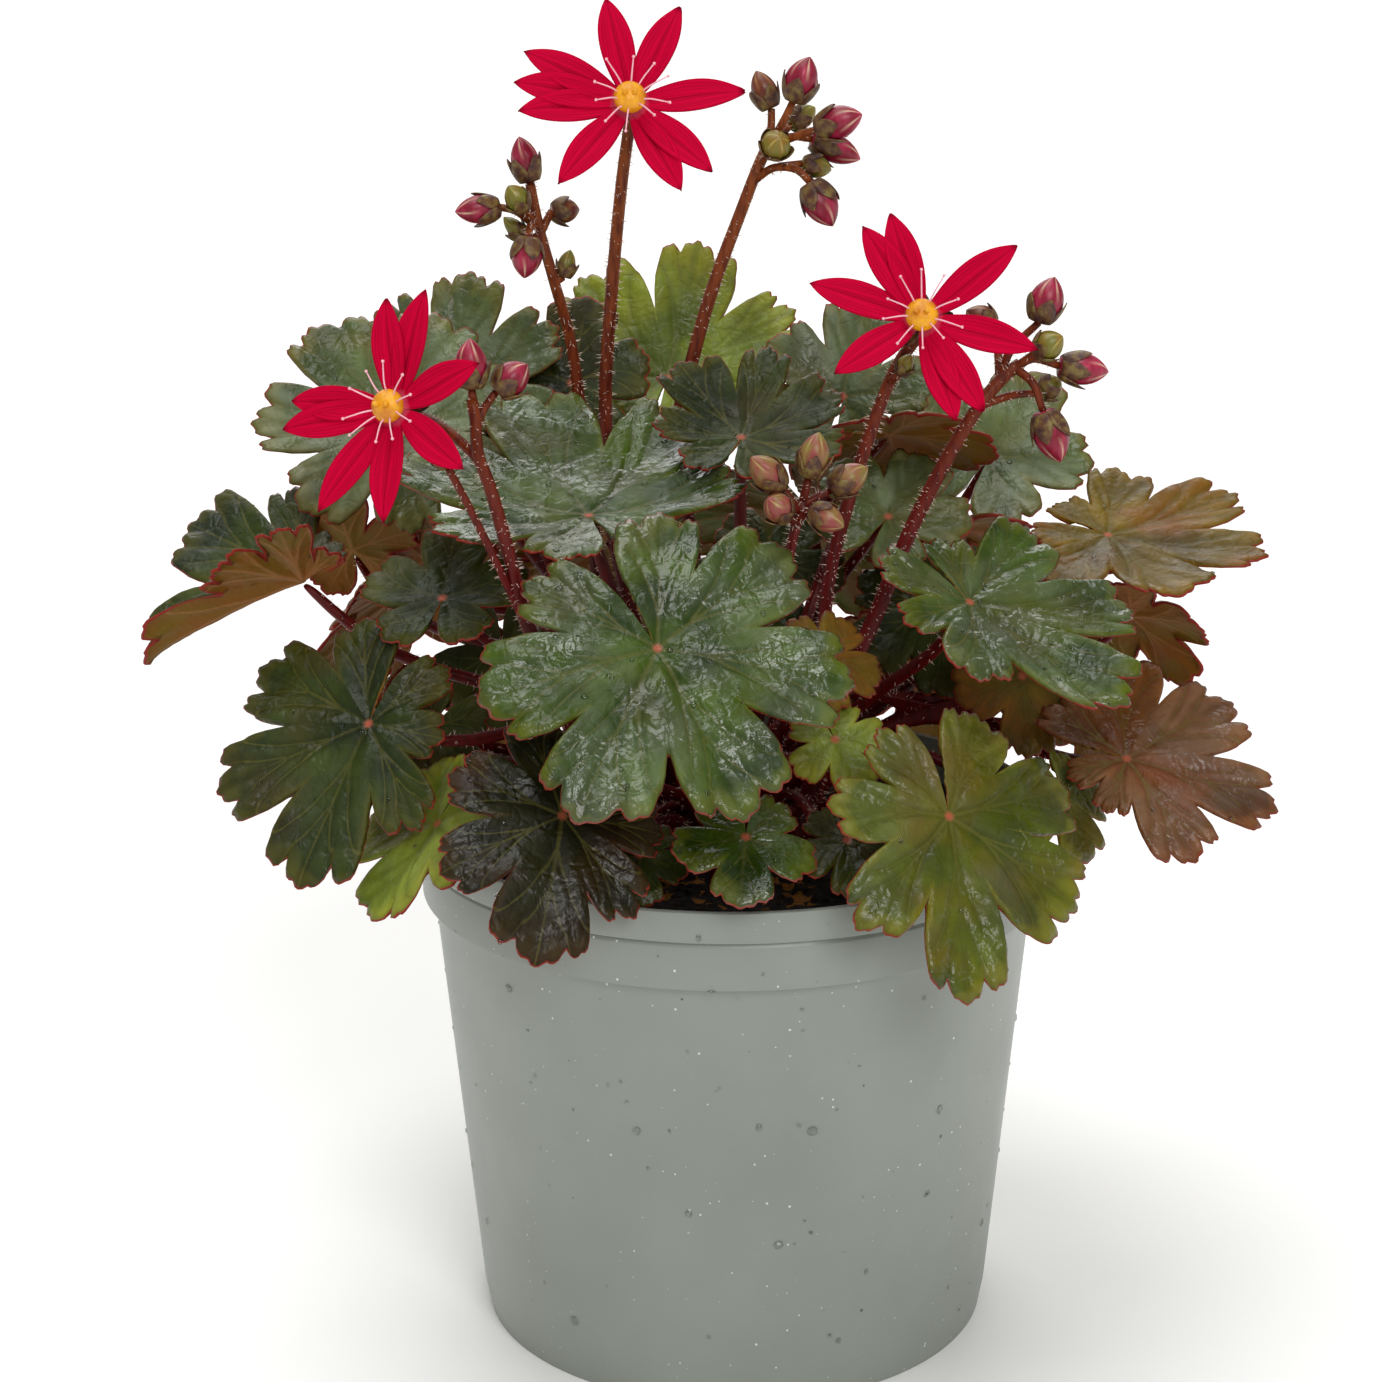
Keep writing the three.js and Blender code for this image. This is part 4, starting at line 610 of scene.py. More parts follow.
def leaf_finish(name, tones):
    """A saxifrage leaf from above: a waxy skin, wet in places, that is puckered between its sunken veins,
    with a painted sheen on its raised parts and painted shade in its hollows.
    """
    dark, light, margin, flush = (linear(code) for code in tones[:4])
    # bloom is how strong the painted sheen is
    flushed, wet, dry, bloom, water = tones[4:]
    material, tree, shader = new_material(
        "waxy leaf, " + name, IOR=1.42, Specular_IOR_Level=0.25, Coat_Roughness=0.22
    )
    place = node(tree, "TexCoord", out="Object")
    field = {key: node(tree, "Attribute", out="Fac", attribute_name=key) for key in BLADE_FIELDS}
    patches = node(tree, "TexNoise", {"Vector": place, "Scale": 1 / 0.016, "Detail": 4.0})
    base = node(tree, "ValToRGB", {0: patches}, stops=((0.36, dark), (0.66, light)))
    # the margin is yellower, more in some places than in others
    blush = node(tree, "TexNoise", {"Vector": place, "Scale": 1 / 0.011, "Detail": 3.0})
    inward = node(tree, "MapRange", {"Value": blush, "From Min": 0.35, "From Max": 0.65, "To Max": 9.0})
    rimward = node(tree, "MapRange", {
        "Value": field["from_rim"], "From Min": inward, "From Max": 0.0, "To Max": 0.7,
    })
    base = node(tree, "Mix", {0: rimward, 6: base, 7: rgba(margin)}, out=2, data_type="RGBA")
    spread = node(tree, "TexNoise", {"Vector": place, "Scale": 1 / 0.02, "Detail": 5.0})
    amount = node(tree, "MapRange", {"Value": spread, "From Min": 0.48, "From Max": 0.66, "To Max": flushed})
    base = node(tree, "Mix", {0: amount, 6: base, 7: rgba(flush)}, out=2, data_type="RGBA")
    # the skin's creases, bent by a noise so that no cell of them is straight-sided
    bend = node(tree, "TexNoise", {"Vector": place, "Scale": 1 / 0.005, "Detail": 2.0}, out="Color")
    bent = node(tree, "VectorMath", {0: bend, 1: (0.005, 0.005, 0.005), 2: place}, operation="MULTIPLY_ADD")
    net = node(tree, "TexVoronoi", {"Vector": bent, "Scale": 1 / 0.0034}, feature="DISTANCE_TO_EDGE")
    crease = node(tree, "MapRange", {"Value": net, "From Max": 0.22}, interpolation_type="SMOOTHSTEP")
    # painted sheen: a pale grey-green painted on the raised parts for the lights' reflection, and painted
    # shade: a darker green painted in the hollows
    drift = node(tree, "TexNoise", {"Vector": place, "Scale": 1 / 0.022, "Detail": 3.0, "Distortion": 0.5})
    sheen_spread = node(tree, "MapRange", {"Value": drift, "From Min": 0.42, "From Max": 0.6, "To Max": bloom})
    sheen_on_raised = node(tree, "MapRange", {
        "Value": field["relief"], "From Min": 0.1, "From Max": 0.6, "To Min": 0.3,
    })
    painted_sheen = node(tree, "Math", {0: sheen_spread, 1: sheen_on_raised}, operation="MULTIPLY")
    base = node(tree, "Mix", {0: painted_sheen, 6: base, 7: rgba(linear("8c9484"))}, out=2, data_type="RGBA")
    # painted shade: the low parts of the relief are painted darker
    low = node(tree, "MapRange", {"Value": field["relief"], "From Min": 0.6, "From Max": 0.05, "To Max": 0.5})
    base = node(tree, "Mix", {0: low, 6: base, 7: rgba(darker(dark, 0.55))}, out=2, data_type="RGBA")
    # thin veins, fainter in some places
    away = field["main_vein"]
    for key in ("side_vein", "tooth_vein"):
        branch = node(tree, "Math", {0: field[key]}, operation="ABSOLUTE")
        away = node(tree, "Math", {0: away, 1: branch}, operation="MINIMUM")
    vein = node(tree, "MapRange", {"Value": away, "From Min": 0.9, "From Max": 0.3, "To Max": 0.5})
    fade = node(tree, "MapRange", {"Value": blush, "From Min": 0.3, "From Max": 0.7, "To Min": 0.25})
    factor = node(tree, "Math", {0: vein, 1: fade}, operation="MULTIPLY")
    base = node(tree, "Mix", {0: factor, 6: base, 7: rgba(linear("605c24"))}, out=2, data_type="RGBA")
    # a thin red edge of uneven width, and a red spot where the stalk joins
    edge = node(tree, "TexNoise", {"Vector": place, "Scale": 1 / 0.0025, "Detail": 3.0})
    width = node(tree, "MapRange", {
        "Value": edge, "From Min": 0.3, "From Max": 0.7, "To Min": 0.15, "To Max": 0.7,
    })
    rim = node(tree, "MapRange", {"Value": field["from_rim"], "From Min": width, "From Max": 0.1})
    base = node(tree, "Mix", {0: rim, 6: base, 7: rgba(linear("8c2c22"))}, out=2, data_type="RGBA")
    spot = node(tree, "MapRange", {
        "Value": field["from_stalk"], "From Min": 1.2, "From Max": 0.4, "To Max": 0.8,
    })
    base = node(tree, "Mix", {0: spot, 6: base, 7: rgba(linear("a8503a"))}, out=2, data_type="RGBA")
    film = node(tree, "TexNoise", {"Vector": place, "Scale": 1 / 0.011, "Detail": 2.5, "Distortion": 0.8})
    shine = node(tree, "MapRange", {
        "Value": film, "From Min": 0.4, "From Max": 0.6, "To Min": wet, "To Max": dry,
    })
    coat = node(tree, "MapRange", {"Value": film, "From Min": 0.58, "From Max": 0.42, "To Max": water})
    # the puckered skin: faint creases, pores, and ripples where a film of water lies
    swirl = node(tree, "TexNoise", {"Vector": place, "Scale": 1 / 0.0056, "Detail": 1.0, "Distortion": 1.4})
    lying = node(tree, "MapRange", {
        "Value": film, "From Min": 0.6, "From Max": 0.42, "To Min": 0.4, "To Max": 2.0,
    })
    ripple = node(tree, "Math", {0: swirl, 1: lying}, operation="MULTIPLY")
    pores = node(tree, "TexNoise", {"Vector": place, "Scale": 1 / 0.0005, "Detail": 2.0})
    height = node(tree, "Math", {0: crease, 1: 0.35, 2: ripple}, operation="MULTIPLY_ADD")
    height = node(tree, "Math", {0: pores, 1: 0.3, 2: height}, operation="MULTIPLY_ADD")
    bump = node(tree, "Bump", {"Height": height, "Strength": 0.45, "Distance": 0.0006})
    connect(
        shader, Base_Color=base, Roughness=shine, Coat_Weight=coat, Normal=bump, Coat_Normal=bump
    )
    return material


def underside_finish(name, light, dark):
    """A leaf from below: dull and reddish, with paler veins."""
    light, dark = linear(light), linear(dark)
    material, tree, shader = new_material("leaf underside, " + name, Roughness=0.6, Specular_IOR_Level=0.15)
    place = node(tree, "TexCoord", out="Object")
    patches = node(tree, "TexNoise", {"Vector": place, "Scale": 1 / 0.011, "Detail": 5.0})
    base = node(tree, "ValToRGB", {0: patches}, stops=((0.35, light), (0.65, dark)))
    main = node(tree, "Attribute", out="Fac", attribute_name="main_vein")
    side = node(tree, "Attribute", out="Fac", attribute_name="side_vein")
    away = node(tree, "Math", {0: side}, operation="ABSOLUTE")
    away = node(tree, "Math", {0: main, 1: away}, operation="MINIMUM")
    vein = node(tree, "MapRange", {"Value": away, "From Min": 1.0, "From Max": 0.3, "To Max": 0.45})
    base = node(tree, "Mix", {0: vein, 6: base, 7: rgba(linear("a06c40"))}, out=2, data_type="RGBA")
    rim = node(tree, "Attribute", out="Fac", attribute_name="from_rim")
    rim = node(tree, "MapRange", {"Value": rim, "From Min": 0.8, "From Max": 0.2})
    base = node(tree, "Mix", {0: rim, 6: base, 7: rgba(linear("84261c"))}, out=2, data_type="RGBA")
    grain = node(tree, "TexNoise", {"Vector": place, "Scale": 1 / 0.0012, "Detail": 4.0})
    bump = node(tree, "Bump", {"Height": grain, "Strength": 0.4, "Distance": 0.0005})
    connect(shader, Base_Color=base, Normal=bump)
    return material


def stalk_finish(low, high):
    """A fleshy saxifrage stalk: crimson below, browner above, with a soft shine."""
    material, tree, shader = new_material("fleshy stalk", Roughness=0.42, Specular_IOR_Level=0.2)
    place = node(tree, "TexCoord", out="Object")
    height = node(tree, "SeparateXYZ", {0: place}, out=2)
    rise = node(tree, "MapRange", {"Value": height, "From Min": 0.17, "From Max": 0.26})
    base = node(tree, "ValToRGB", {0: rise}, stops=((0, low), (1, high)))
    drawn = node(tree, "Mapping", {"Vector": place, "Scale": (1, 1, 0.12)})
    fibres = node(tree, "TexNoise", {"Vector": drawn, "Scale": 1 / 0.0011, "Detail": 4.0})
    streak = node(tree, "MapRange", {"Value": fibres, "From Min": 0.42, "From Max": 0.68, "To Max": 0.8})
    base = node(tree, "Mix", {0: streak, 6: base, 7: rgba(darker(low, 0.45))}, out=2, data_type="RGBA")
    bump = node(tree, "Bump", {"Height": fibres, "Strength": 0.35, "Distance": 0.0004})
    connect(shader, Base_Color=base, Normal=bump)
    return material


def bristle_finish():
    """The fine hairs on the stalks: pale and matt."""
    return new_material("pale bristle", Base_Color=rgba(linear("e3c9ba")), Roughness=0.5)[0]


# For each kind of bud: its petals' skin, its lighter parts, and the seams near its tip
BUD_TONES = {
    "crimson": ("7a0a26", "ac2c4c", "e2c3a4"),
    "pink": ("8a3e3c", "7c7830", "b0a466"),
    "green": ("6d6a22", "8a6426", "b8a85a"),
    "brown": ("5d221c", "7c4a2a", "b48c60"),
}


def bud_finish(name, tones):
    """A closed bud: folded petals with a silky skin, and pale seams near the tip where they meet."""
    skin, blush, pale = (linear(tone) for tone in tones)
    material, tree, shader = new_material("bud petal, " + name, Roughness=0.36, IOR=1.42)
    place = node(tree, "TexCoord", out="Object")
    drawn = node(tree, "Mapping", {"Vector": place, "Scale": (1, 1, 0.35)})
    patches = node(tree, "TexNoise", {"Vector": drawn, "Scale": 1 / 0.0022, "Detail": 3.0})
    base = node(tree, "ValToRGB", {0: patches}, stops=((0.4, skin), (0.72, blush)))
    seam = node(tree, "Attribute", out="Fac", attribute_name="seam")
    high = node(tree, "Attribute", out="Fac", attribute_name="high")
    near = node(tree, "MapRange", {"Value": seam, "From Min": 0.4, "From Max": 0.05})
    top = node(tree, "MapRange", {"Value": high, "From Min": 0.5, "From Max": 0.85, "To Max": 0.8})
    factor = node(tree, "Math", {0: near, 1: top}, operation="MULTIPLY")
    base = node(tree, "Mix", {0: factor, 6: base, 7: rgba(pale)}, out=2, data_type="RGBA")
    bump = node(tree, "Bump", {"Height": patches, "Strength": 0.3, "Distance": 0.0004})
    connect(shader, Base_Color=base, Normal=bump)
    return material


def sepal_finish():
    """The dry husk round a bud and behind a bloom: brown-red, with greenish patches."""
    material, tree, shader = new_material("dry sepal", Roughness=0.5)
    place = node(tree, "TexCoord", out="Object")
    patches = node(tree, "TexNoise", {"Vector": place, "Scale": 1 / 0.0016, "Detail": 4.0})
    stops = ((0.35, linear("3c1a14")), (0.5, linear("5c3a1c")), (0.68, linear("77662e")))
    base = node(tree, "ValToRGB", {0: patches}, stops=stops)
    bump = node(tree, "Bump", {"Height": patches, "Strength": 0.5, "Distance": 0.0003})
    connect(shader, Base_Color=base, Normal=bump)
    return material


def petal_finish(colour):
    """A bloom's petal: crimson silk with fine darker veins, and a pale claw at its base."""
    material, tree, shader = new_material("crimson petal", Roughness=0.7, Specular_IOR_Level=0.04)
    along = node(tree, "Attribute", out="Fac", attribute_name="along")
    across = node(tree, "Attribute", out="Fac", attribute_name="across")
    where = node(tree, "CombineXYZ", {0: across, 1: along})
    # a noise drawn out along the petal makes its veins
    drawn = node(tree, "Mapping", {"Vector": where, "Scale": (5.5, 0.7, 1)})
    veins = node(tree, "TexNoise", {"Vector": drawn, "Scale": 1.6, "Detail": 3.0})
    base = node(tree, "ValToRGB", {0: veins}, stops=((0.42, colour), (0.72, darker(colour, 0.55))))
    rib = node(tree, "Math", {0: across}, operation="ABSOLUTE")
    for value, start, end, tone in (
        (rib, 0.07, 0.01, darker(colour, 0.5)),
        (along, 0.93, 1.0, darker(colour, 0.3)),
        (along, 0.17, 0.06, linear("d86a84")),
    ):
        factor = node(tree, "MapRange", {"Value": value, "From Min": start, "From Max": end})
        base = node(tree, "Mix", {0: factor, 6: base, 7: rgba(tone)}, out=2, data_type="RGBA")
    bump = node(tree, "Bump", {"Height": veins, "Strength": 0.35, "Distance": 0.0004})
    connect(shader, Base_Color=base, Normal=bump)
    return material


def ovary_finish(colour):
    """The waxy yellow ovary, pitted and more orange in places."""
    material, tree, shader = new_material("waxy ovary", Roughness=0.4)
    place = node(tree, "TexCoord", out="Object")
    pits = node(tree, "TexVoronoi", {"Vector": place, "Scale": 1 / 0.0009}, out="Distance")
    patches = node(tree, "TexNoise", {"Vector": place, "Scale": 1 / 0.004, "Detail": 2.0})
    base = node(tree, "ValToRGB", {0: patches}, stops=((0.4, colour), (0.68, linear("cc7c08"))))
    bump = node(tree, "Bump", {"Height": pits, "Strength": 0.3, "Distance": 0.0004})
    connect(shader, Base_Color=base, Normal=bump)
    return material


# Leaf blades


def leaf_row(index):
    """A row of the table as a dictionary, with its directions worked out."""
    at, face, tilt, spin, reach, cup, finish, more = LEAVES[index]
    lobes = more.get("lobes", 7)
    down, side, normal = leaning_frame(face, tilt)
    turn = math.radians(spin)
    ahead = math.cos(turn) * down + math.sin(turn) * side
    return {
        "name": f"leaf_{index + 1:02d}", "reach": reach, "cup": cup, "finish": finish, "lobes": lobes,
        "fold": more.get("fold", 0), "shares": np.array(more.get("shares", USUAL_SHARES[lobes])),
        "spacing": (360 - SINUS) / lobes, "home": np.array(at, float),
        "axes": np.array((ahead, np.cross(normal, ahead), normal)),
    }


def blade_height(leaf, u, v):
    """The blade's height over its own plane: cupped, folded along its middle and pleated by its lobes."""
    share = np.hypot(u, v) / leaf["reach"]
    turn = np.degrees(np.arctan2(v, u))
    pleat = -PLEAT * leaf["reach"] * np.cos(2 * np.pi * turn / leaf["spacing"]) * share**1.5
    return pleat + leaf["cup"] * share**2 + math.tan(math.radians(leaf["fold"])) * np.abs(v)


def blade_place(leaf):
    """Where the blade joins its stalk: the solid has slid from its row's place, and its box says how far."""
    # the solid blade's points, as an angle and a share of its reach: the stalk, the sinus and each lobe
    teeth = TEETH[leaf["lobes"]]
    polar = [(0, 0), (180, 0.07)]
    for k, length in enumerate(leaf["shares"]):
        middle = (k - (leaf["lobes"] - 1) / 2) * leaf["spacing"]
        polar += [(middle + across * leaf["spacing"] / 2, along * length) for across, along in teeth]
    polar.append((180 - SINUS / 2, teeth[0][1] * leaf["shares"][-1]))
    # a solid with seven lobes has an inner ring of points too
    if leaf["lobes"] == 7:
        for k in range(15):
            ring = 0.3 if k in (0, 14) else 0.42
            polar.append((-175 + 25 * k, ring * leaf["shares"][min(k // 2, 6)]))
    angle, share = np.radians([p[0] for p in polar]), np.array([p[1] for p in polar])
    u, v = share * leaf["reach"] * np.cos(angle), share * leaf["reach"] * np.sin(angle)
    w = blade_height(leaf, u, v)
    half = BLADE_THICKNESS / 2
    points = np.r_[np.c_[u, v, w + half], np.c_[u, v, w - half]] @ leaf["axes"]
    low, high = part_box(leaf["name"])
    middle = (np.array(low) + np.array(high)) / 2 / MM
    return middle - (points.min(0) + points.max(0)) / 2


def blade_outline(leaf, angle, seed):
    """The rim's distance from the stalk in each direction: a lobe has three parts with three teeth each."""
    sway = np.array([noise.noise((a / 40, 2.3 * seed, 0.7)) for a in angle]) * (1 - (angle / 175) ** 4)
    lobe = (angle + 9 * sway) / leaf["spacing"] + (leaf["lobes"] - 1) / 2
    k = np.clip(np.rint(lobe), 0, leaf["lobes"] - 1).astype(int)
    across = np.clip(2 * (lobe - k), -1, 1)
    other = np.clip(k + np.sign(across).astype(int), 0, leaf["lobes"] - 1)
    shares = leaf["shares"]
    edge = (shares[k] + shares[other]) / 2
    length = shares[k] + (edge - shares[k]) * np.abs(across) ** 4
    low = TEETH[leaf["lobes"]][0][1]
    lobed = low + (1.05 - low) * (1 - np.abs(across) ** 4)
    large, small = (np.abs(np.cos((n + 0.5) * np.pi * across)) ** 0.65 for n in (1, 4))
    uneven = [
        np.array([noise.noise((0.73 * n, 1.7 * seed, 0.4)) for n in np.rint(count * lobe)])
        for count in (3, 9)
    ]
    toothed = 1 - (0.11 + 0.07 * uneven[0]) * (1 - large) - (0.04 + 0.03 * uneven[1]) * (1 - small)
    return leaf["reach"] * length * lobed * toothed * (1 + 0.04 * uneven[0]), across


BLADE_FIELDS = ("main_vein", "side_vein", "tooth_vein", "relief", "from_rim", "from_stalk")


def add_blade(leaf, seed, emboss, finishes):
    """One leaf blade: a grid laid out round the stalk, embossed between its veins and given a thickness."""
    large = leaf["lobes"] == 7
    columns, rows = (240, 25) if large else (126, 14)
    bm = bmesh.new()
    layers = {key: bm.verts.layers.float.new(key) for key in BLADE_FIELDS}
    bmesh.ops.create_grid(bm, x_segments=columns, y_segments=rows, size=1)
    verts = list(bm.verts)
    grid = np.array([v.co[:2] for v in verts])
    share = ((grid[:, 1] + 1) / 2) ** 0.85
    opening = np.clip((share - 0.06) / 0.12, 0, 1)
    angle = grid[:, 0] * (180 - SINUS / 2 * opening)
    rim, across = blade_outline(leaf, angle, seed)
    out = share * rim
    u, v = out * np.cos(np.radians(angle)), out * np.sin(np.radians(angle))
    # vein distances in widths of the vein, which thins towards the rim
    half = math.radians(leaf["spacing"] / 2)
    width = (0.35 + 0.3 * leaf["reach"] / LARGE_REACH) * (1 - 0.6 * share)
    fields = {"main_vein": np.abs(across) * half * out / width}
    for key, spread, start in (("side_vein", 0.8, 0.22), ("tooth_vein", 0.4, 0.5)):
        line = spread * np.clip((share - start) / (1 - start), 0, 1) ** 0.8
        gap = (np.abs(across) - line) * half * out / (0.75 * width)
        fields[key] = np.where(share > start, gap, 9)
    nearest = np.min([np.abs(gap) for gap in fields.values()], axis=0)
    puff = 1 - np.exp(-((nearest * width / 1.3) ** 2))
    # noise_vector is shifted by the clock unless a seed is set
    noise.seed_set(seed)
    cells = []
    for a, b in zip(u, v):
        bend = noise.noise_vector((a / 6, b / 6, 0.9 * seed))
        near = noise.voronoi((a / 4.6 + 0.7 * bend.x, b / 4.6 + 0.7 * bend.y, 3.1 * seed))[0]
        cells.append(min(1.0, 1.4 * (near[1] - near[0])))
    fade = np.clip(6 * share, 0, 1) * np.clip((rim - out) / 1.5, 0, 1)
    relief = (0.35 + 0.65 * puff) * (0.6 + 0.4 * np.array(cells)) * fade
    sway = np.array([noise.noise((a / 16, b / 16, 7.7 * seed)) for a, b in zip(u, v)])
    curl = 1.6 * share**2 * sway - 0.7 * share**10
    w = blade_height(leaf, u, v) + emboss * leaf["reach"] / LARGE_REACH * (relief - 0.4) + curl
    fields |= {"relief": relief, "from_rim": rim - out, "from_stalk": out}
    place = blade_place(leaf)
    points = place + np.c_[u, v, w] @ leaf["axes"]
    for i, vert in enumerate(verts):
        vert.co = points[i]
        for key, layer in layers.items():
            vert[layer] = fields[key][i]
    bmesh.ops.remove_doubles(bm, verts=bm.verts, dist=0.004)
    bmesh.ops.reverse_faces(bm, faces=bm.faces)
    upper = set(bm.faces)
    bm.normal_update()
    bmesh.ops.solidify(bm, geom=bm.faces[:], thickness=BLADE_SKIN)
    for face in bm.faces:
        face.material_index = 0 if face in upper else 1
    return add_piece(leaf["name"] + "_blade", bm, finishes, [leaf["name"]])


# What a user would change


def colour_property(name, description, code):
    """A colour that a user can pick, given as an sRGB hex value."""
    return FloatVectorProperty(
        name=name, description=description, subtype="COLOR", min=0, max=1, default=linear(code)
    )


class SaxifragePot(bpy.types.PropertyGroup):
    colour: colour_property("Plastic", "Colour of the pot", "8a9088")
    facets: IntProperty(name="Facets", description="Faces round the pot", default=144, min=24)
    soil: colour_property("Compost", "Colour of the compost", "1e1712")
    crumbs: IntProperty(name="Crumbs", description="Loose crumbs on the compost", default=900, min=0)


class SaxifrageLeaves(bpy.types.PropertyGroup):
    emboss: FloatProperty(
        name="Emboss", description="How far the blade bulges between its veins", unit="LENGTH",
        default=0.9 * MM,
    )
    drops: IntProperty(name="Drops", description="Water drops on a large wet leaf", default=50, min=0)
    stalk: colour_property("Stalk", "Colour of the stalks near the crown", "5c0c0a")
    stalk_top: colour_property("Stalk top", "Colour of the flower stalks near their tops", "8e4c1c")
    bristle: FloatProperty(
        name="Bristle", description="Length of the hairs on the stalks", unit="LENGTH", default=1.1 * MM
    )


class SaxifrageFlowers(bpy.types.PropertyGroup):
    petal: colour_property("Petal", "Colour of the petals", "c60034")
    ovary: colour_property("Ovary", "Colour of the bloom's centre", "eea80c")


class SaxifrageSettings(bpy.types.PropertyGroup):
    pot: PointerProperty(type=SaxifragePot)
    leaves: PointerProperty(type=SaxifrageLeaves)
    flowers: PointerProperty(type=SaxifrageFlowers)


class SAXIFRAGE_OT_stage(bpy.types.Operator):
    """Adds the floor, the lights and the camera"""

    bl_idname = "saxifrage.stage"
    bl_label = "Add Stage"

    def execute(self, context):
        scene = context.scene
        yaw, pitch, roll = (math.radians(a) for a in (CAMERA_YAW, CAMERA_PITCH, CAMERA_ROLL))
        ahead = Vector((math.sin(yaw) * math.cos(pitch), math.cos(yaw) * math.cos(pitch), -math.sin(pitch)))
        right = ahead.cross(Vector((0, 0, 1))).normalized()
        up = right.cross(ahead)
        turned_right = math.cos(roll) * right + math.sin(roll) * up
        turned_up = math.cos(roll) * up - math.sin(roll) * right
        camera = bpy.data.objects.new("camera", bpy.data.cameras.new("camera"))
        camera.data.lens = CAMERA_LENS
        camera.data.clip_start = 0.01
        camera.matrix_world = Matrix.Translation(Vector(CAMERA_PLACE) * MM) @ Matrix(
            (turned_right, turned_up, -ahead)
        ).transposed().to_4x4()
        scene.collection.objects.link(camera)
        scene.camera = camera
        paper = new_material("matt paper", Base_Color=rgba(linear("f6f6f5")), Roughness=0.9)[0]
        bm = bmesh.new()
        bmesh.ops.create_grid(bm, x_segments=1, y_segments=1, size=FLOOR_REACH)
        mesh = to_mesh("floor", bm)
        mesh.materials.append(paper)
        floor = bpy.data.objects.new("floor", mesh)
        scene.collection.objects.link(floor)
        world = bpy.data.worlds.new("studio")
        world.use_nodes = True
        background = world.node_tree.nodes["Background"]
        background.inputs["Color"].default_value = (1, 0.99, 0.96, 1)
        background.inputs["Strength"].default_value = 0.4
        scene.world = world
        scene.view_settings.view_transform = "Standard"
        for name, place, angle, power in (
            ("top", (-0.15, -0.05, 1), 40, 1.35),
            ("front", (0.3, -1, 0.75), 25, 1.25),
            ("back", (-0.1, 0.9, 0.75), 45, 1.1),
        ):
            light = bpy.data.objects.new(name, bpy.data.lights.new(name, "SUN"))
            light.data.angle = math.radians(angle)
            light.data.energy = power
            light.rotation_euler = Vector(place).to_track_quat("Z", "Y").to_euler()
            scene.collection.objects.link(light)
        return {"FINISHED"}


class SAXIFRAGE_OT_pot(bpy.types.Operator):
    """Adds the moulded pot"""

    bl_idname = "saxifrage.pot"
    bl_label = "Add Pot"

    def execute(self, context):
        settings = context.scene.saxifrage.pot
        # the outside from the middle of the base up to the rim, then the inside back down
        profile = [
            (0, 0), (PAD_RADIUS, 0), (PAD_RADIUS + 1.2, BASE_RECESS), (FOOT_RING_RADIUS - 1.2, BASE_RECESS),
            (FOOT_RING_RADIUS, 0), (FOOT_RADIUS, 0), (WALL_BOTTOM_RADIUS, FOOT_HEIGHT),
            (WALL_TOP_RADIUS, COLLAR_BOTTOM - 0.3), (COLLAR_RADIUS, COLLAR_BOTTOM),
            (COLLAR_RADIUS - 0.1, LIP_BOTTOM - 0.9), (COLLAR_RADIUS - 0.7, LIP_BOTTOM - 0.2),
            (RIM_RADIUS, LIP_BOTTOM + 0.2), (RIM_RADIUS, POT_HEIGHT),
            (RIM_RADIUS - WALL, POT_HEIGHT), (COLLAR_RADIUS - WALL, COLLAR_BOTTOM + 2),
            (WALL_TOP_RADIUS - WALL, COLLAR_BOTTOM - 2), (WALL_BOTTOM_RADIUS - WALL, BASE), (0, BASE),
        ]
        bm = lathe(profile, settings.facets)
        # the edges that run round the pot are rounded, as a mould leaves them
        sharp = [
            edge for edge in bm.edges
            if edge.is_manifold and edge.calc_face_angle() > math.radians(15)
            and abs(edge.verts[0].co.z - edge.verts[1].co.z) < 0.01 and edge.verts[0].co.xy.length > 2
        ]
        bmesh.ops.bevel(
            bm, geom=sharp, offset=0.22, offset_type="OFFSET", segments=2, profile=0.5,
            affect="EDGES", material=-1,
        )
        pot = add_piece("moulded_pot", bm, [plastic_finish(settings.colour)], ["pot"])
        drill = bmesh.new()
        for i in range(DRAIN_HOLES):
            turn = 2 * math.pi * i / DRAIN_HOLES
            spot = (DRAIN_CIRCLE * math.cos(turn), DRAIN_CIRCLE * math.sin(turn), BASE / 2)
            bmesh.ops.create_cone(
                drill, cap_ends=True, segments=32, radius1=DRAIN_RADIUS, radius2=DRAIN_RADIUS,
                depth=4 * BASE, matrix=Matrix.Translation(spot),
            )
        drills = bpy.data.objects.new("drills", to_mesh("drills", drill, MM))
        context.scene.collection.objects.link(drills)
        cut = pot.modifiers.new("drain holes", "BOOLEAN")
        cut.object = drills
        cut.operation = "DIFFERENCE"
        cut.solver = "EXACT"
        apply_modifiers(pot)
        bpy.data.objects.remove(drills)
        pot.data.set_sharp_from_angle(angle=math.radians(40))
        return {"FINISHED"}


def on_compost(spots, facing):
    """On top of the compost, clear of the crown's middle."""
    return (spots[:, 2] > 0.1) & (np.hypot(spots[:, 0], spots[:, 1]) > 0.014)


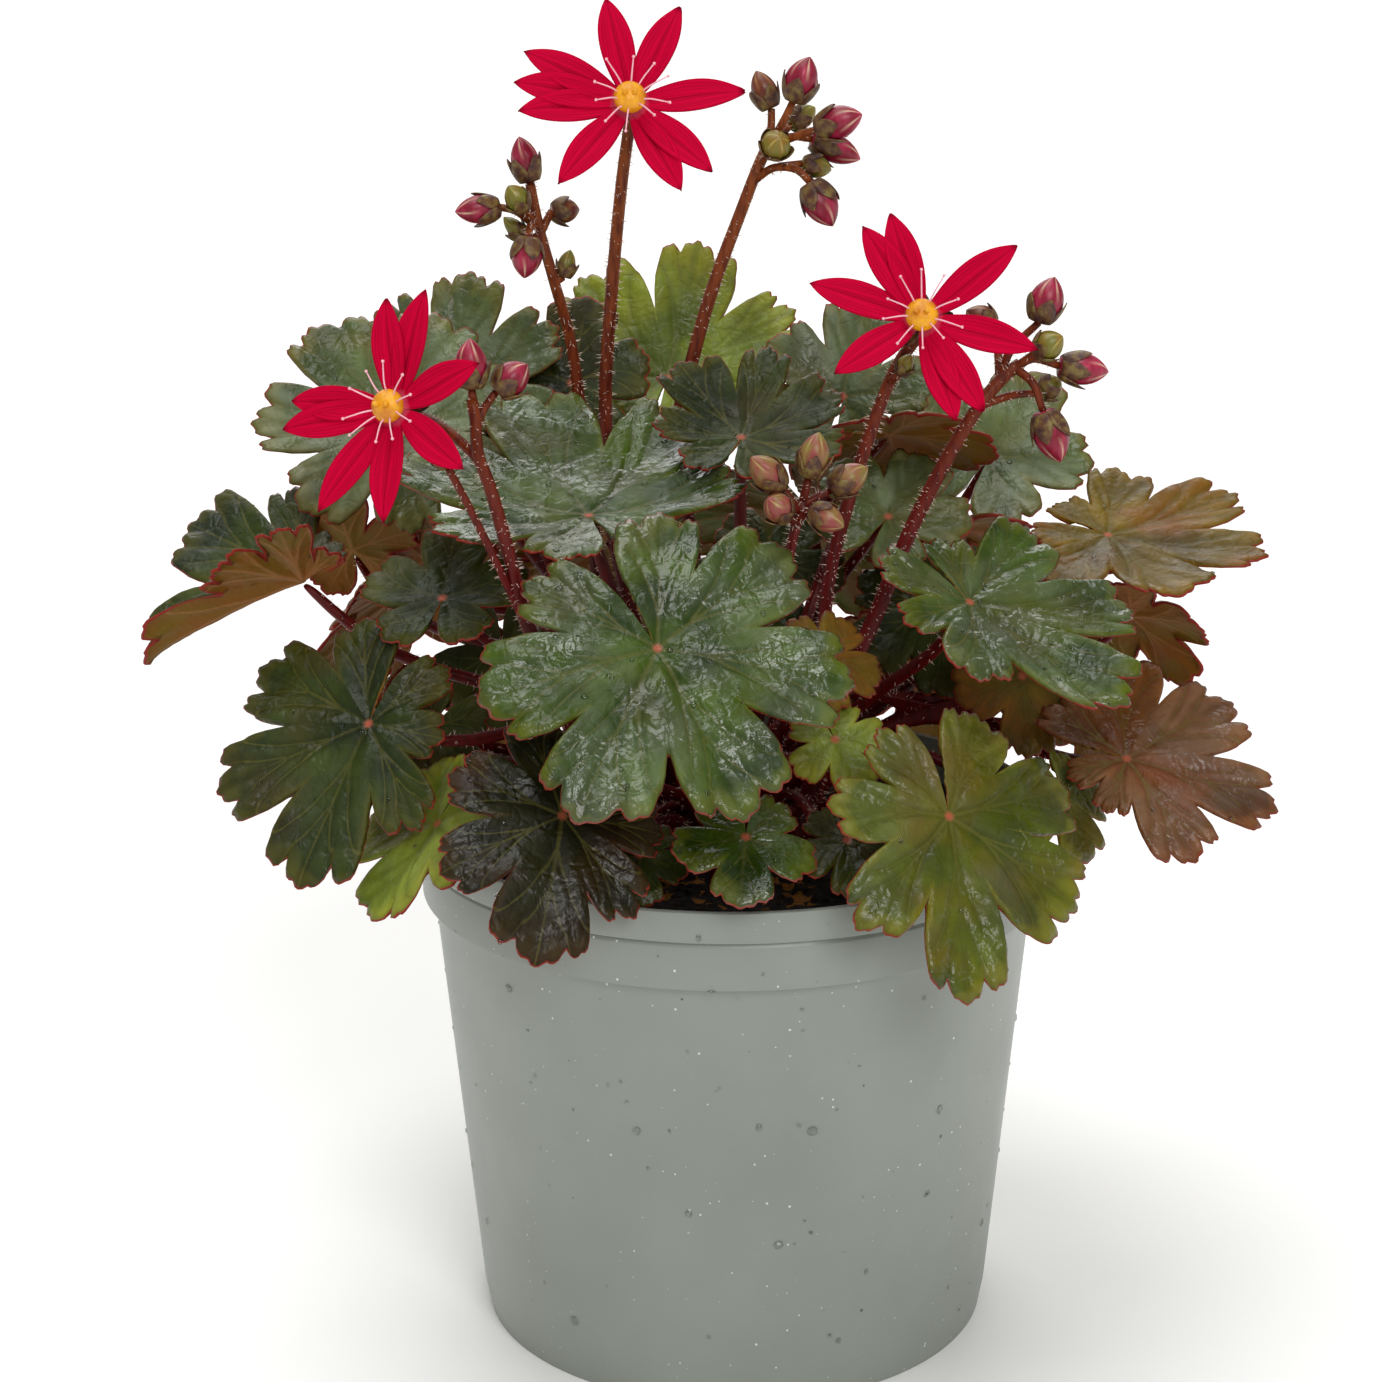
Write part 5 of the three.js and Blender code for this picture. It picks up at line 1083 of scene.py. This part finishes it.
class SAXIFRAGE_OT_compost(bpy.types.Operator):
    """Adds the compost with its loose crumbs"""

    bl_idname = "saxifrage.compost"
    bl_label = "Add Compost"

    def execute(self, context):
        settings = context.scene.saxifrage.pot
        inner, outer = (radius - WALL - COMPOST_GAP for radius in (WALL_BOTTOM_RADIUS, WALL_TOP_RADIUS))
        rise = COMPOST_TOP - COMPOST_EDGE
        profile = [(0, BASE + 0.4), (inner, BASE + 0.4), (outer, COMPOST_SHOULDER)]
        profile += [(outer * (1 - i / 64), COMPOST_EDGE + rise * min(1, i / 16)) for i in range(65)]
        bm = lathe(profile, 200)
        # lumps about 7 mm across, with crumbs of 2.3 mm on them
        for vert in bm.verts:
            if vert.co.z > COMPOST_SHOULDER + 1:
                lumps = 1.3 * noise.noise(vert.co / 7) + 0.9 * noise.noise(vert.co / 2.3)
                vert.co.z += lumps - 0.3
        finish = compost_finish(settings.soil)
        compost = add_piece("compost_mass", bm, [finish], ["compost"])
        draw = np.random.default_rng(21)
        spots = surface_points(compost, settings.crumbs, draw, on_compost)[0]
        crumb = bmesh.new()
        bmesh.ops.create_icosphere(crumb, subdivisions=1, radius=1)
        places = []
        for spot in spots:
            size = MM * draw.uniform(0.35, 1.3) * draw.uniform(0.5, 1.2, 3)
            places.append(standing(Vector(spot), draw.normal(size=3), size))
        mesh = scatter("compost_crumbs", crumb, places)
        add_piece("compost_crumbs", mesh, [finish])
        return {"FINISHED"}


class SAXIFRAGE_OT_crown(bpy.types.Operator):
    """Adds the crown with the leaf stalks, smoothed from its solid"""

    bl_idname = "saxifrage.crown"
    bl_label = "Add Crown"

    def execute(self, context):
        settings = context.scene.saxifrage.leaves
        # a copy of the solid, whose triangles are joined to faces that a subdivision rounds
        bm = bmesh.new()
        bm.from_mesh(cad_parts["crown"].data)
        bmesh.ops.remove_doubles(bm, verts=bm.verts, dist=2e-6)
        bmesh.ops.join_triangles(bm, faces=bm.faces, angle_face_threshold=0.7, angle_shape_threshold=3.1)
        bmesh.ops.scale(bm, vec=(1 / MM,) * 3, verts=bm.verts)
        skin = stalk_finish(settings.stalk, settings.stalk_top)
        crown = add_piece("crown_stalks", bm, [skin], ["crown"])
        smooth = crown.modifiers.new("smooth", "SUBSURF")
        smooth.levels = smooth.render_levels = 2
        apply_modifiers(crown)
        bm = bmesh.new()
        bm.from_mesh(crown.data)
        bm.normal_update()
        # smoothing thins the stalks, which this makes up for
        for vert in bm.verts:
            if vert.co.z > OPEN_AIR * MM:
                vert.co += 0.3 * MM * vert.normal
        # under a folded blade the stalk's top follows the fold
        for leaf in (leaf_row(i) for i in range(len(LEAVES))):
            if not leaf["fold"]:
                continue
            home = Vector(blade_place(leaf)) * MM
            side, normal = (Vector(axis) for axis in leaf["axes"][1:])
            for vert in bm.verts:
                apart = vert.co - home
                if apart.length < STALK_TOP * MM and apart.dot(normal) > -1.6 * MM:
                    vert.co += math.tan(math.radians(leaf["fold"])) * abs(apart.dot(side)) * normal
        bm.to_mesh(crown.data)
        bm.free()
        crown.data.shade_smooth()
        return {"FINISHED"}


class SAXIFRAGE_OT_leaves(bpy.types.Operator):
    """Adds every leaf blade"""

    bl_idname = "saxifrage.leaves"
    bl_label = "Add Leaves"

    def execute(self, context):
        settings = context.scene.saxifrage.leaves
        upper = {name: leaf_finish(name, tones) for name, tones in LEAF_TONES.items()}
        rusty = underside_finish("rusty", "7c4814", "6a5214")
        olive = underside_finish("olive", "5d6626", "6e4a20")
        for i in range(len(LEAVES)):
            leaf = leaf_row(i)
            below = rusty if leaf["finish"] in ("bronze", "rust", "deep", "dusky") else olive
            add_blade(leaf, i + 1, settings.emboss / MM, [upper[leaf["finish"]], below])
        return {"FINISHED"}


def add_bud(bm, husk, base, tip, width):
    """One closed bud with five grooves, and the husk of five sepals round its lower half."""
    base, tip = Vector(base), Vector(tip)
    length = (tip - base).length
    place = Matrix.Translation(base) @ (tip - base).to_track_quat("Z", "X").to_matrix().to_4x4()
    layers = bm.verts.layers.float
    seam, tall = (layers.get(key) or layers.new(key) for key in ("seam", "high"))
    made = bmesh.ops.create_uvsphere(bm, u_segments=40, v_segments=16, radius=1)["verts"]
    for vert in made:
        high = (vert.co.z + 1) / 2
        turn = math.atan2(vert.co.y, vert.co.x)
        groove = abs(math.sin(2.5 * turn + 1.5 * high))
        vert[seam] = groove
        vert[tall] = high
        wide = width / 2 * bud_profile(high) * (0.9 + 0.1 * min(1, 2.2 * groove))
        vert.co = place @ Vector((wide * math.cos(turn), wide * math.sin(turn), high * length))
    for k in range(5):
        flap = bmesh.ops.create_grid(husk, x_segments=6, y_segments=10, size=1)["verts"]
        for vert in flap:
            across, high = vert.co.x, (vert.co.y + 1) / 2
            along = 0.02 + 0.56 * high
            narrow = 1 - high**2.2
            turn = 2 * math.pi * k / 5 + 0.72 * narrow * across + 0.4
            out = width / 2 * bud_profile(along) + 0.28 + 0.5 * high**3
            vert.co = place @ Vector((out * math.cos(turn), out * math.sin(turn), along * length))


def bud_profile(high):
    """How wide a bud is at a share of its height: egg-shaped, with a blunt point."""
    above = 0.07 + 0.93 * min(high, 1)
    return (4 * above * (1 - above)) ** (0.5 + 0.32 * above) * (1.08 - 0.14 * above)


class SAXIFRAGE_OT_sprays(bpy.types.Operator):
    """Adds the flower stalks with their buds, husks and hairs"""

    bl_idname = "saxifrage.sprays"
    bl_label = "Add Sprays"

    def execute(self, context):
        settings = context.scene.saxifrage.leaves
        skin = stalk_finish(settings.stalk, settings.stalk_top)
        husk_finish = sepal_finish()
        finishes = {name: bud_finish(name, tones) for name, tones in BUD_TONES.items()}
        draw = np.random.default_rng(5)
        hairy = []
        for spray in SPRAYS:
            bm = bmesh.new()
            husk = bmesh.new()
            frame_of_bloom = bloom_matrix(BLOOMS[spray["bloom"]]) if "bloom" in spray else None
            behind = [frame_of_bloom @ Vector((0, 0, z)) for z in (-8, -1.5)] if frame_of_bloom else []
            upright = [(*spray["foot"], COMPOST_TOP - depth) for depth in (FOOT_DEPTH, -3)]
            main = [*upright, *spray["route"]] + ([] if "pedicel" in spray else behind)
            add_tube(bm, smooth_curve(main, 2.5), spray["radius"], 12)
            if "pedicel" in spray:
                add_tube(bm, smooth_curve([*spray["pedicel"], *behind], 1.5), (1, 1), 10)
            buds = {}
            for route, tip, width, kind in spray["branches"]:
                add_tube(bm, smooth_curve(route, 1.2), (0.9, 0.75), 10)
                add_bud(buds.setdefault(kind, bmesh.new()), husk, route[-1], tip, width)
            if frame_of_bloom:
                add_calyx(husk, frame_of_bloom)
            stalk = add_piece(spray["name"] + "_stalk", bm, [skin], [spray["name"]])
            for kind, bud in buds.items():
                add_piece(f"{spray['name']}_{kind}_buds", bud, [finishes[kind]])
            if husk.verts:
                bmesh.ops.recalc_face_normals(husk, faces=husk.faces)
                bmesh.ops.solidify(husk, geom=husk.faces[:], thickness=SEPAL_SKIN)
                add_piece(spray["name"] + "_sepals", husk, [husk_finish])
            else:
                husk.free()
            hairy.append((stalk, SPRAY_HAIRS))
        hairy.append((bpy.data.objects["crown_stalks"], CROWN_HAIRS))
        places = []
        for piece, count in hairy:
            for spot, facing in zip(*surface_points(piece, count, draw, in_open_air)):
                lean = facing + draw.normal(scale=0.25, size=3)
                length = settings.bristle * draw.uniform(0.5, 1.2)
                places.append(standing(Vector(spot), lean, (HAIR_WIDTH * MM, HAIR_WIDTH * MM, length)))
        cone = bmesh.new()
        bmesh.ops.create_cone(
            cone, cap_ends=False, segments=3, radius1=1, radius2=0.2, depth=1,
            matrix=Matrix.Translation((0, 0, 0.45)),
        )
        add_piece("stalk_hairs", scatter("stalk_hairs", cone, places), [bristle_finish()])
        return {"FINISHED"}


def add_calyx(husk, matrix):
    """The five pointed sepals behind a bloom."""
    for k in range(5):
        flap = bmesh.ops.create_grid(husk, x_segments=6, y_segments=8, size=1)["verts"]
        turn = 2 * math.pi * k / 5 + 0.3
        for vert in flap:
            across, high = vert.co.x, (vert.co.y + 1) / 2
            out = 0.8 + 5.4 * high
            wide = 1.8 * (1 - high**2.5) * across * (0.4 + high)
            spot = Vector((out, wide, -1.9 - 0.9 * high + 0.25 * across**2))
            vert.co = matrix @ (Matrix.Rotation(turn, 3, "Z") @ spot)


class SAXIFRAGE_OT_blooms(bpy.types.Operator):
    """Adds the petals, ovaries and stamens of the blooms"""

    bl_idname = "saxifrage.blooms"
    bl_label = "Add Blooms"

    def execute(self, context):
        settings = context.scene.saxifrage.flowers
        silk = petal_finish(settings.petal)
        waxy = ovary_finish(settings.ovary)
        pale = new_material("pale filament", Base_Color=rgba(linear("f0b4c2")), Roughness=0.45)[0]
        draw = np.random.default_rng(8)
        for bloom in BLOOMS:
            matrix = bloom_matrix(bloom)
            bm = bmesh.new()
            layers = [bm.verts.layers.float.new(key) for key in ("along", "across")]
            for i, (angle, length) in enumerate(bloom["petals"]):
                add_petal(bm, layers, matrix, angle, length, i, draw)
            bmesh.ops.reverse_faces(bm, faces=bm.faces)
            bm.normal_update()
            bmesh.ops.solidify(bm, geom=bm.faces[:], thickness=PETAL_SKIN)
            name = "bloom_" + bloom["name"]
            add_piece(name + "_petals", bm, [silk], [name])
            add_centre(name, matrix, waxy, pale, draw)
        return {"FINISHED"}


def add_petal(bm, layers, matrix, angle, length, i, draw):
    """One petal: a pointed blade that rises from the middle and bends back at its tip."""
    flap = bmesh.ops.create_grid(bm, x_segments=12, y_segments=26, size=1)["verts"]
    twist, ruffle = draw.uniform(-0.12, 0.12), draw.uniform(-0.5, 0.5)
    turn = Matrix.Rotation(math.radians(angle), 4, "Z")
    for vert in flap:
        across, along = vert.co.x, 0.06 + 0.94 * (vert.co.y + 1) / 2
        wide = 3.5 * along**1.15 * (1 - along) ** 0.9 + 0.16 * (1 - along) ** 2
        side = across * wide * PETAL_WIDTH / 2
        rise = PETAL_RISE * math.sin(2.4 * along) * along + RECEPTACLE_HEIGHT / 2
        cup = 0.75 * (across * wide) ** 2 - 0.3 * math.exp(-((across / 0.12) ** 2)) * wide
        wave = ruffle * 0.6 * math.sin(5 * along + 2.2 * across) * along * abs(across)
        spot = Vector((along * length, side, rise + cup + wave + twist * side * along - 0.12 * (i % 2)))
        vert.co = matrix @ (turn @ spot)
        vert[layers[0]] = along
        vert[layers[1]] = across


def add_centre(name, matrix, waxy, pale, draw):
    """The domed ovary with its two beaks, and the stamens round it."""
    foot = RECEPTACLE_HEIGHT + 0.3
    bm = bmesh.new()
    dome = bmesh.ops.create_uvsphere(bm, u_segments=32, v_segments=20, radius=1)["verts"]
    for vert in dome:
        vert.co = Vector((OVARY_RADIUS * vert.co.x, OVARY_RADIUS * vert.co.y, foot + 1.5 + 2.4 * vert.co.z))
    for side in (-1, 1):
        beak = [(out * side, 0, foot + up) for out, up in ((0.6, 3), (1.0, 4.2), (1.3, 5))]
        add_tube(bm, np.array(beak), (0.7, 0.3), 10)
    bmesh.ops.transform(bm, matrix=matrix, verts=bm.verts)
    add_piece(name + "_ovary", bm, [waxy], [name + "_centre"])
    bm = bmesh.new()
    for i in range(STAMEN_COUNT):
        turn = 2 * math.pi * (i + 0.5) / STAMEN_COUNT + draw.uniform(-0.12, 0.12)
        reach = 0.87 * STAMEN_LENGTH * draw.uniform(0.85, 1.1)
        line = [
            (out * math.cos(turn), out * math.sin(turn), foot + up)
            for out, up in ((1.6, 1.3), (0.5 * reach, 3.6), (reach, 4.8 + draw.uniform(-0.5, 0.8)))
        ]
        add_tube(bm, smooth_curve(line, 0.9), (0.2, 0.13), 6)
        bmesh.ops.create_uvsphere(
            bm, u_segments=8, v_segments=6, radius=0.32, matrix=Matrix.Translation(line[-1])
        )
    bmesh.ops.transform(bm, matrix=matrix, verts=bm.verts)
    add_piece(name + "_stamens", bm, [pale])


def outside_of_pot(spots, facing):
    """Where the pot's wall faces outwards, above its foot."""
    outwards = np.einsum("ij,ij->i", facing[:, :2], spots[:, :2]) > 0
    return (facing[:, 2] < 0.3) & outwards & (spots[:, 2] > 6 * MM)


class SAXIFRAGE_OT_water(bpy.types.Operator):
    """Adds water drops on the wet leaves and the pot"""

    bl_idname = "saxifrage.water"
    bl_label = "Add Water"

    def execute(self, context):
        settings = context.scene.saxifrage.leaves
        draw = np.random.default_rng(13)
        places = []
        wetness = {"wet": 1, "deep": 0.3, "grey": 0.25, "dusky": 0.35, "bronze": 0.2}
        for i in range(len(LEAVES)):
            leaf = leaf_row(i)
            share = wetness.get(leaf["finish"], 0.1)
            count = round(settings.drops * share * (leaf["reach"] / LARGE_REACH) ** 2)
            if not count:
                continue
            normal = leaf["axes"][2]
            piece = bpy.data.objects[leaf["name"] + "_blade"]
            upper = lambda spots, facing: facing @ normal > 0.3
            for spot, facing in zip(*surface_points(piece, count, draw, upper)):
                size = MM * draw.uniform(0.25, 0.75) * draw.uniform(0.8, 1.2, 3)
                size[2] *= 0.5
                places.append(standing(Vector(spot), facing, size, draw.uniform(0, 6.3)))
        pot = bpy.data.objects["moulded_pot"]
        for spot, facing in zip(*surface_points(pot, POT_DROPS, draw, outside_of_pot)):
            size = MM * (0.3 + 0.9 * draw.random() ** 3) * np.array((1, 1, 0.5)) * draw.uniform(0.8, 1.2, 3)
            places.append(standing(Vector(spot), facing, size))
        bead = bmesh.new()
        bmesh.ops.create_uvsphere(bead, u_segments=8, v_segments=5, radius=1)
        add_piece("water_drops", scatter("water_drops", bead, places), [water_finish()])
        return {"FINISHED"}


class SAXIFRAGE_PT_pieces(bpy.types.Panel):
    """Lists the pieces of the potted saxifrage"""

    bl_idname = "SAXIFRAGE_PT_pieces"
    bl_label = "Potted Saxifrage"
    bl_space_type = "VIEW_3D"
    bl_region_type = "UI"
    bl_category = "Saxifrage"

    def draw(self, context):
        settings = context.scene.saxifrage
        for group in (settings.pot, settings.leaves, settings.flowers):
            box = self.layout.box()
            for name in group.__annotations__:
                box.prop(group, name)
        for operator in OPERATORS:
            self.layout.operator(operator.bl_idname)


OPERATORS = (
    SAXIFRAGE_OT_stage,
    SAXIFRAGE_OT_pot,
    SAXIFRAGE_OT_compost,
    SAXIFRAGE_OT_crown,
    SAXIFRAGE_OT_leaves,
    SAXIFRAGE_OT_sprays,
    SAXIFRAGE_OT_blooms,
    SAXIFRAGE_OT_water,
)
GROUPS = (SaxifragePot, SaxifrageLeaves, SaxifrageFlowers, SaxifrageSettings)
CLASSES = (*GROUPS, *OPERATORS, SAXIFRAGE_PT_pieces)


def register():
    for cls in CLASSES:
        bpy.utils.register_class(cls)
    bpy.types.Scene.saxifrage = PointerProperty(type=SaxifrageSettings)


def unregister():
    del bpy.types.Scene.saxifrage
    for cls in reversed(CLASSES):
        bpy.utils.unregister_class(cls)


def main():
    """Registers the add-on and builds every piece in order."""
    register()
    for operator in OPERATORS:
        getattr(bpy.ops.saxifrage, operator.bl_idname.split(".")[1])()
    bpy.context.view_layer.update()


if __name__ == "__main__":
    main()
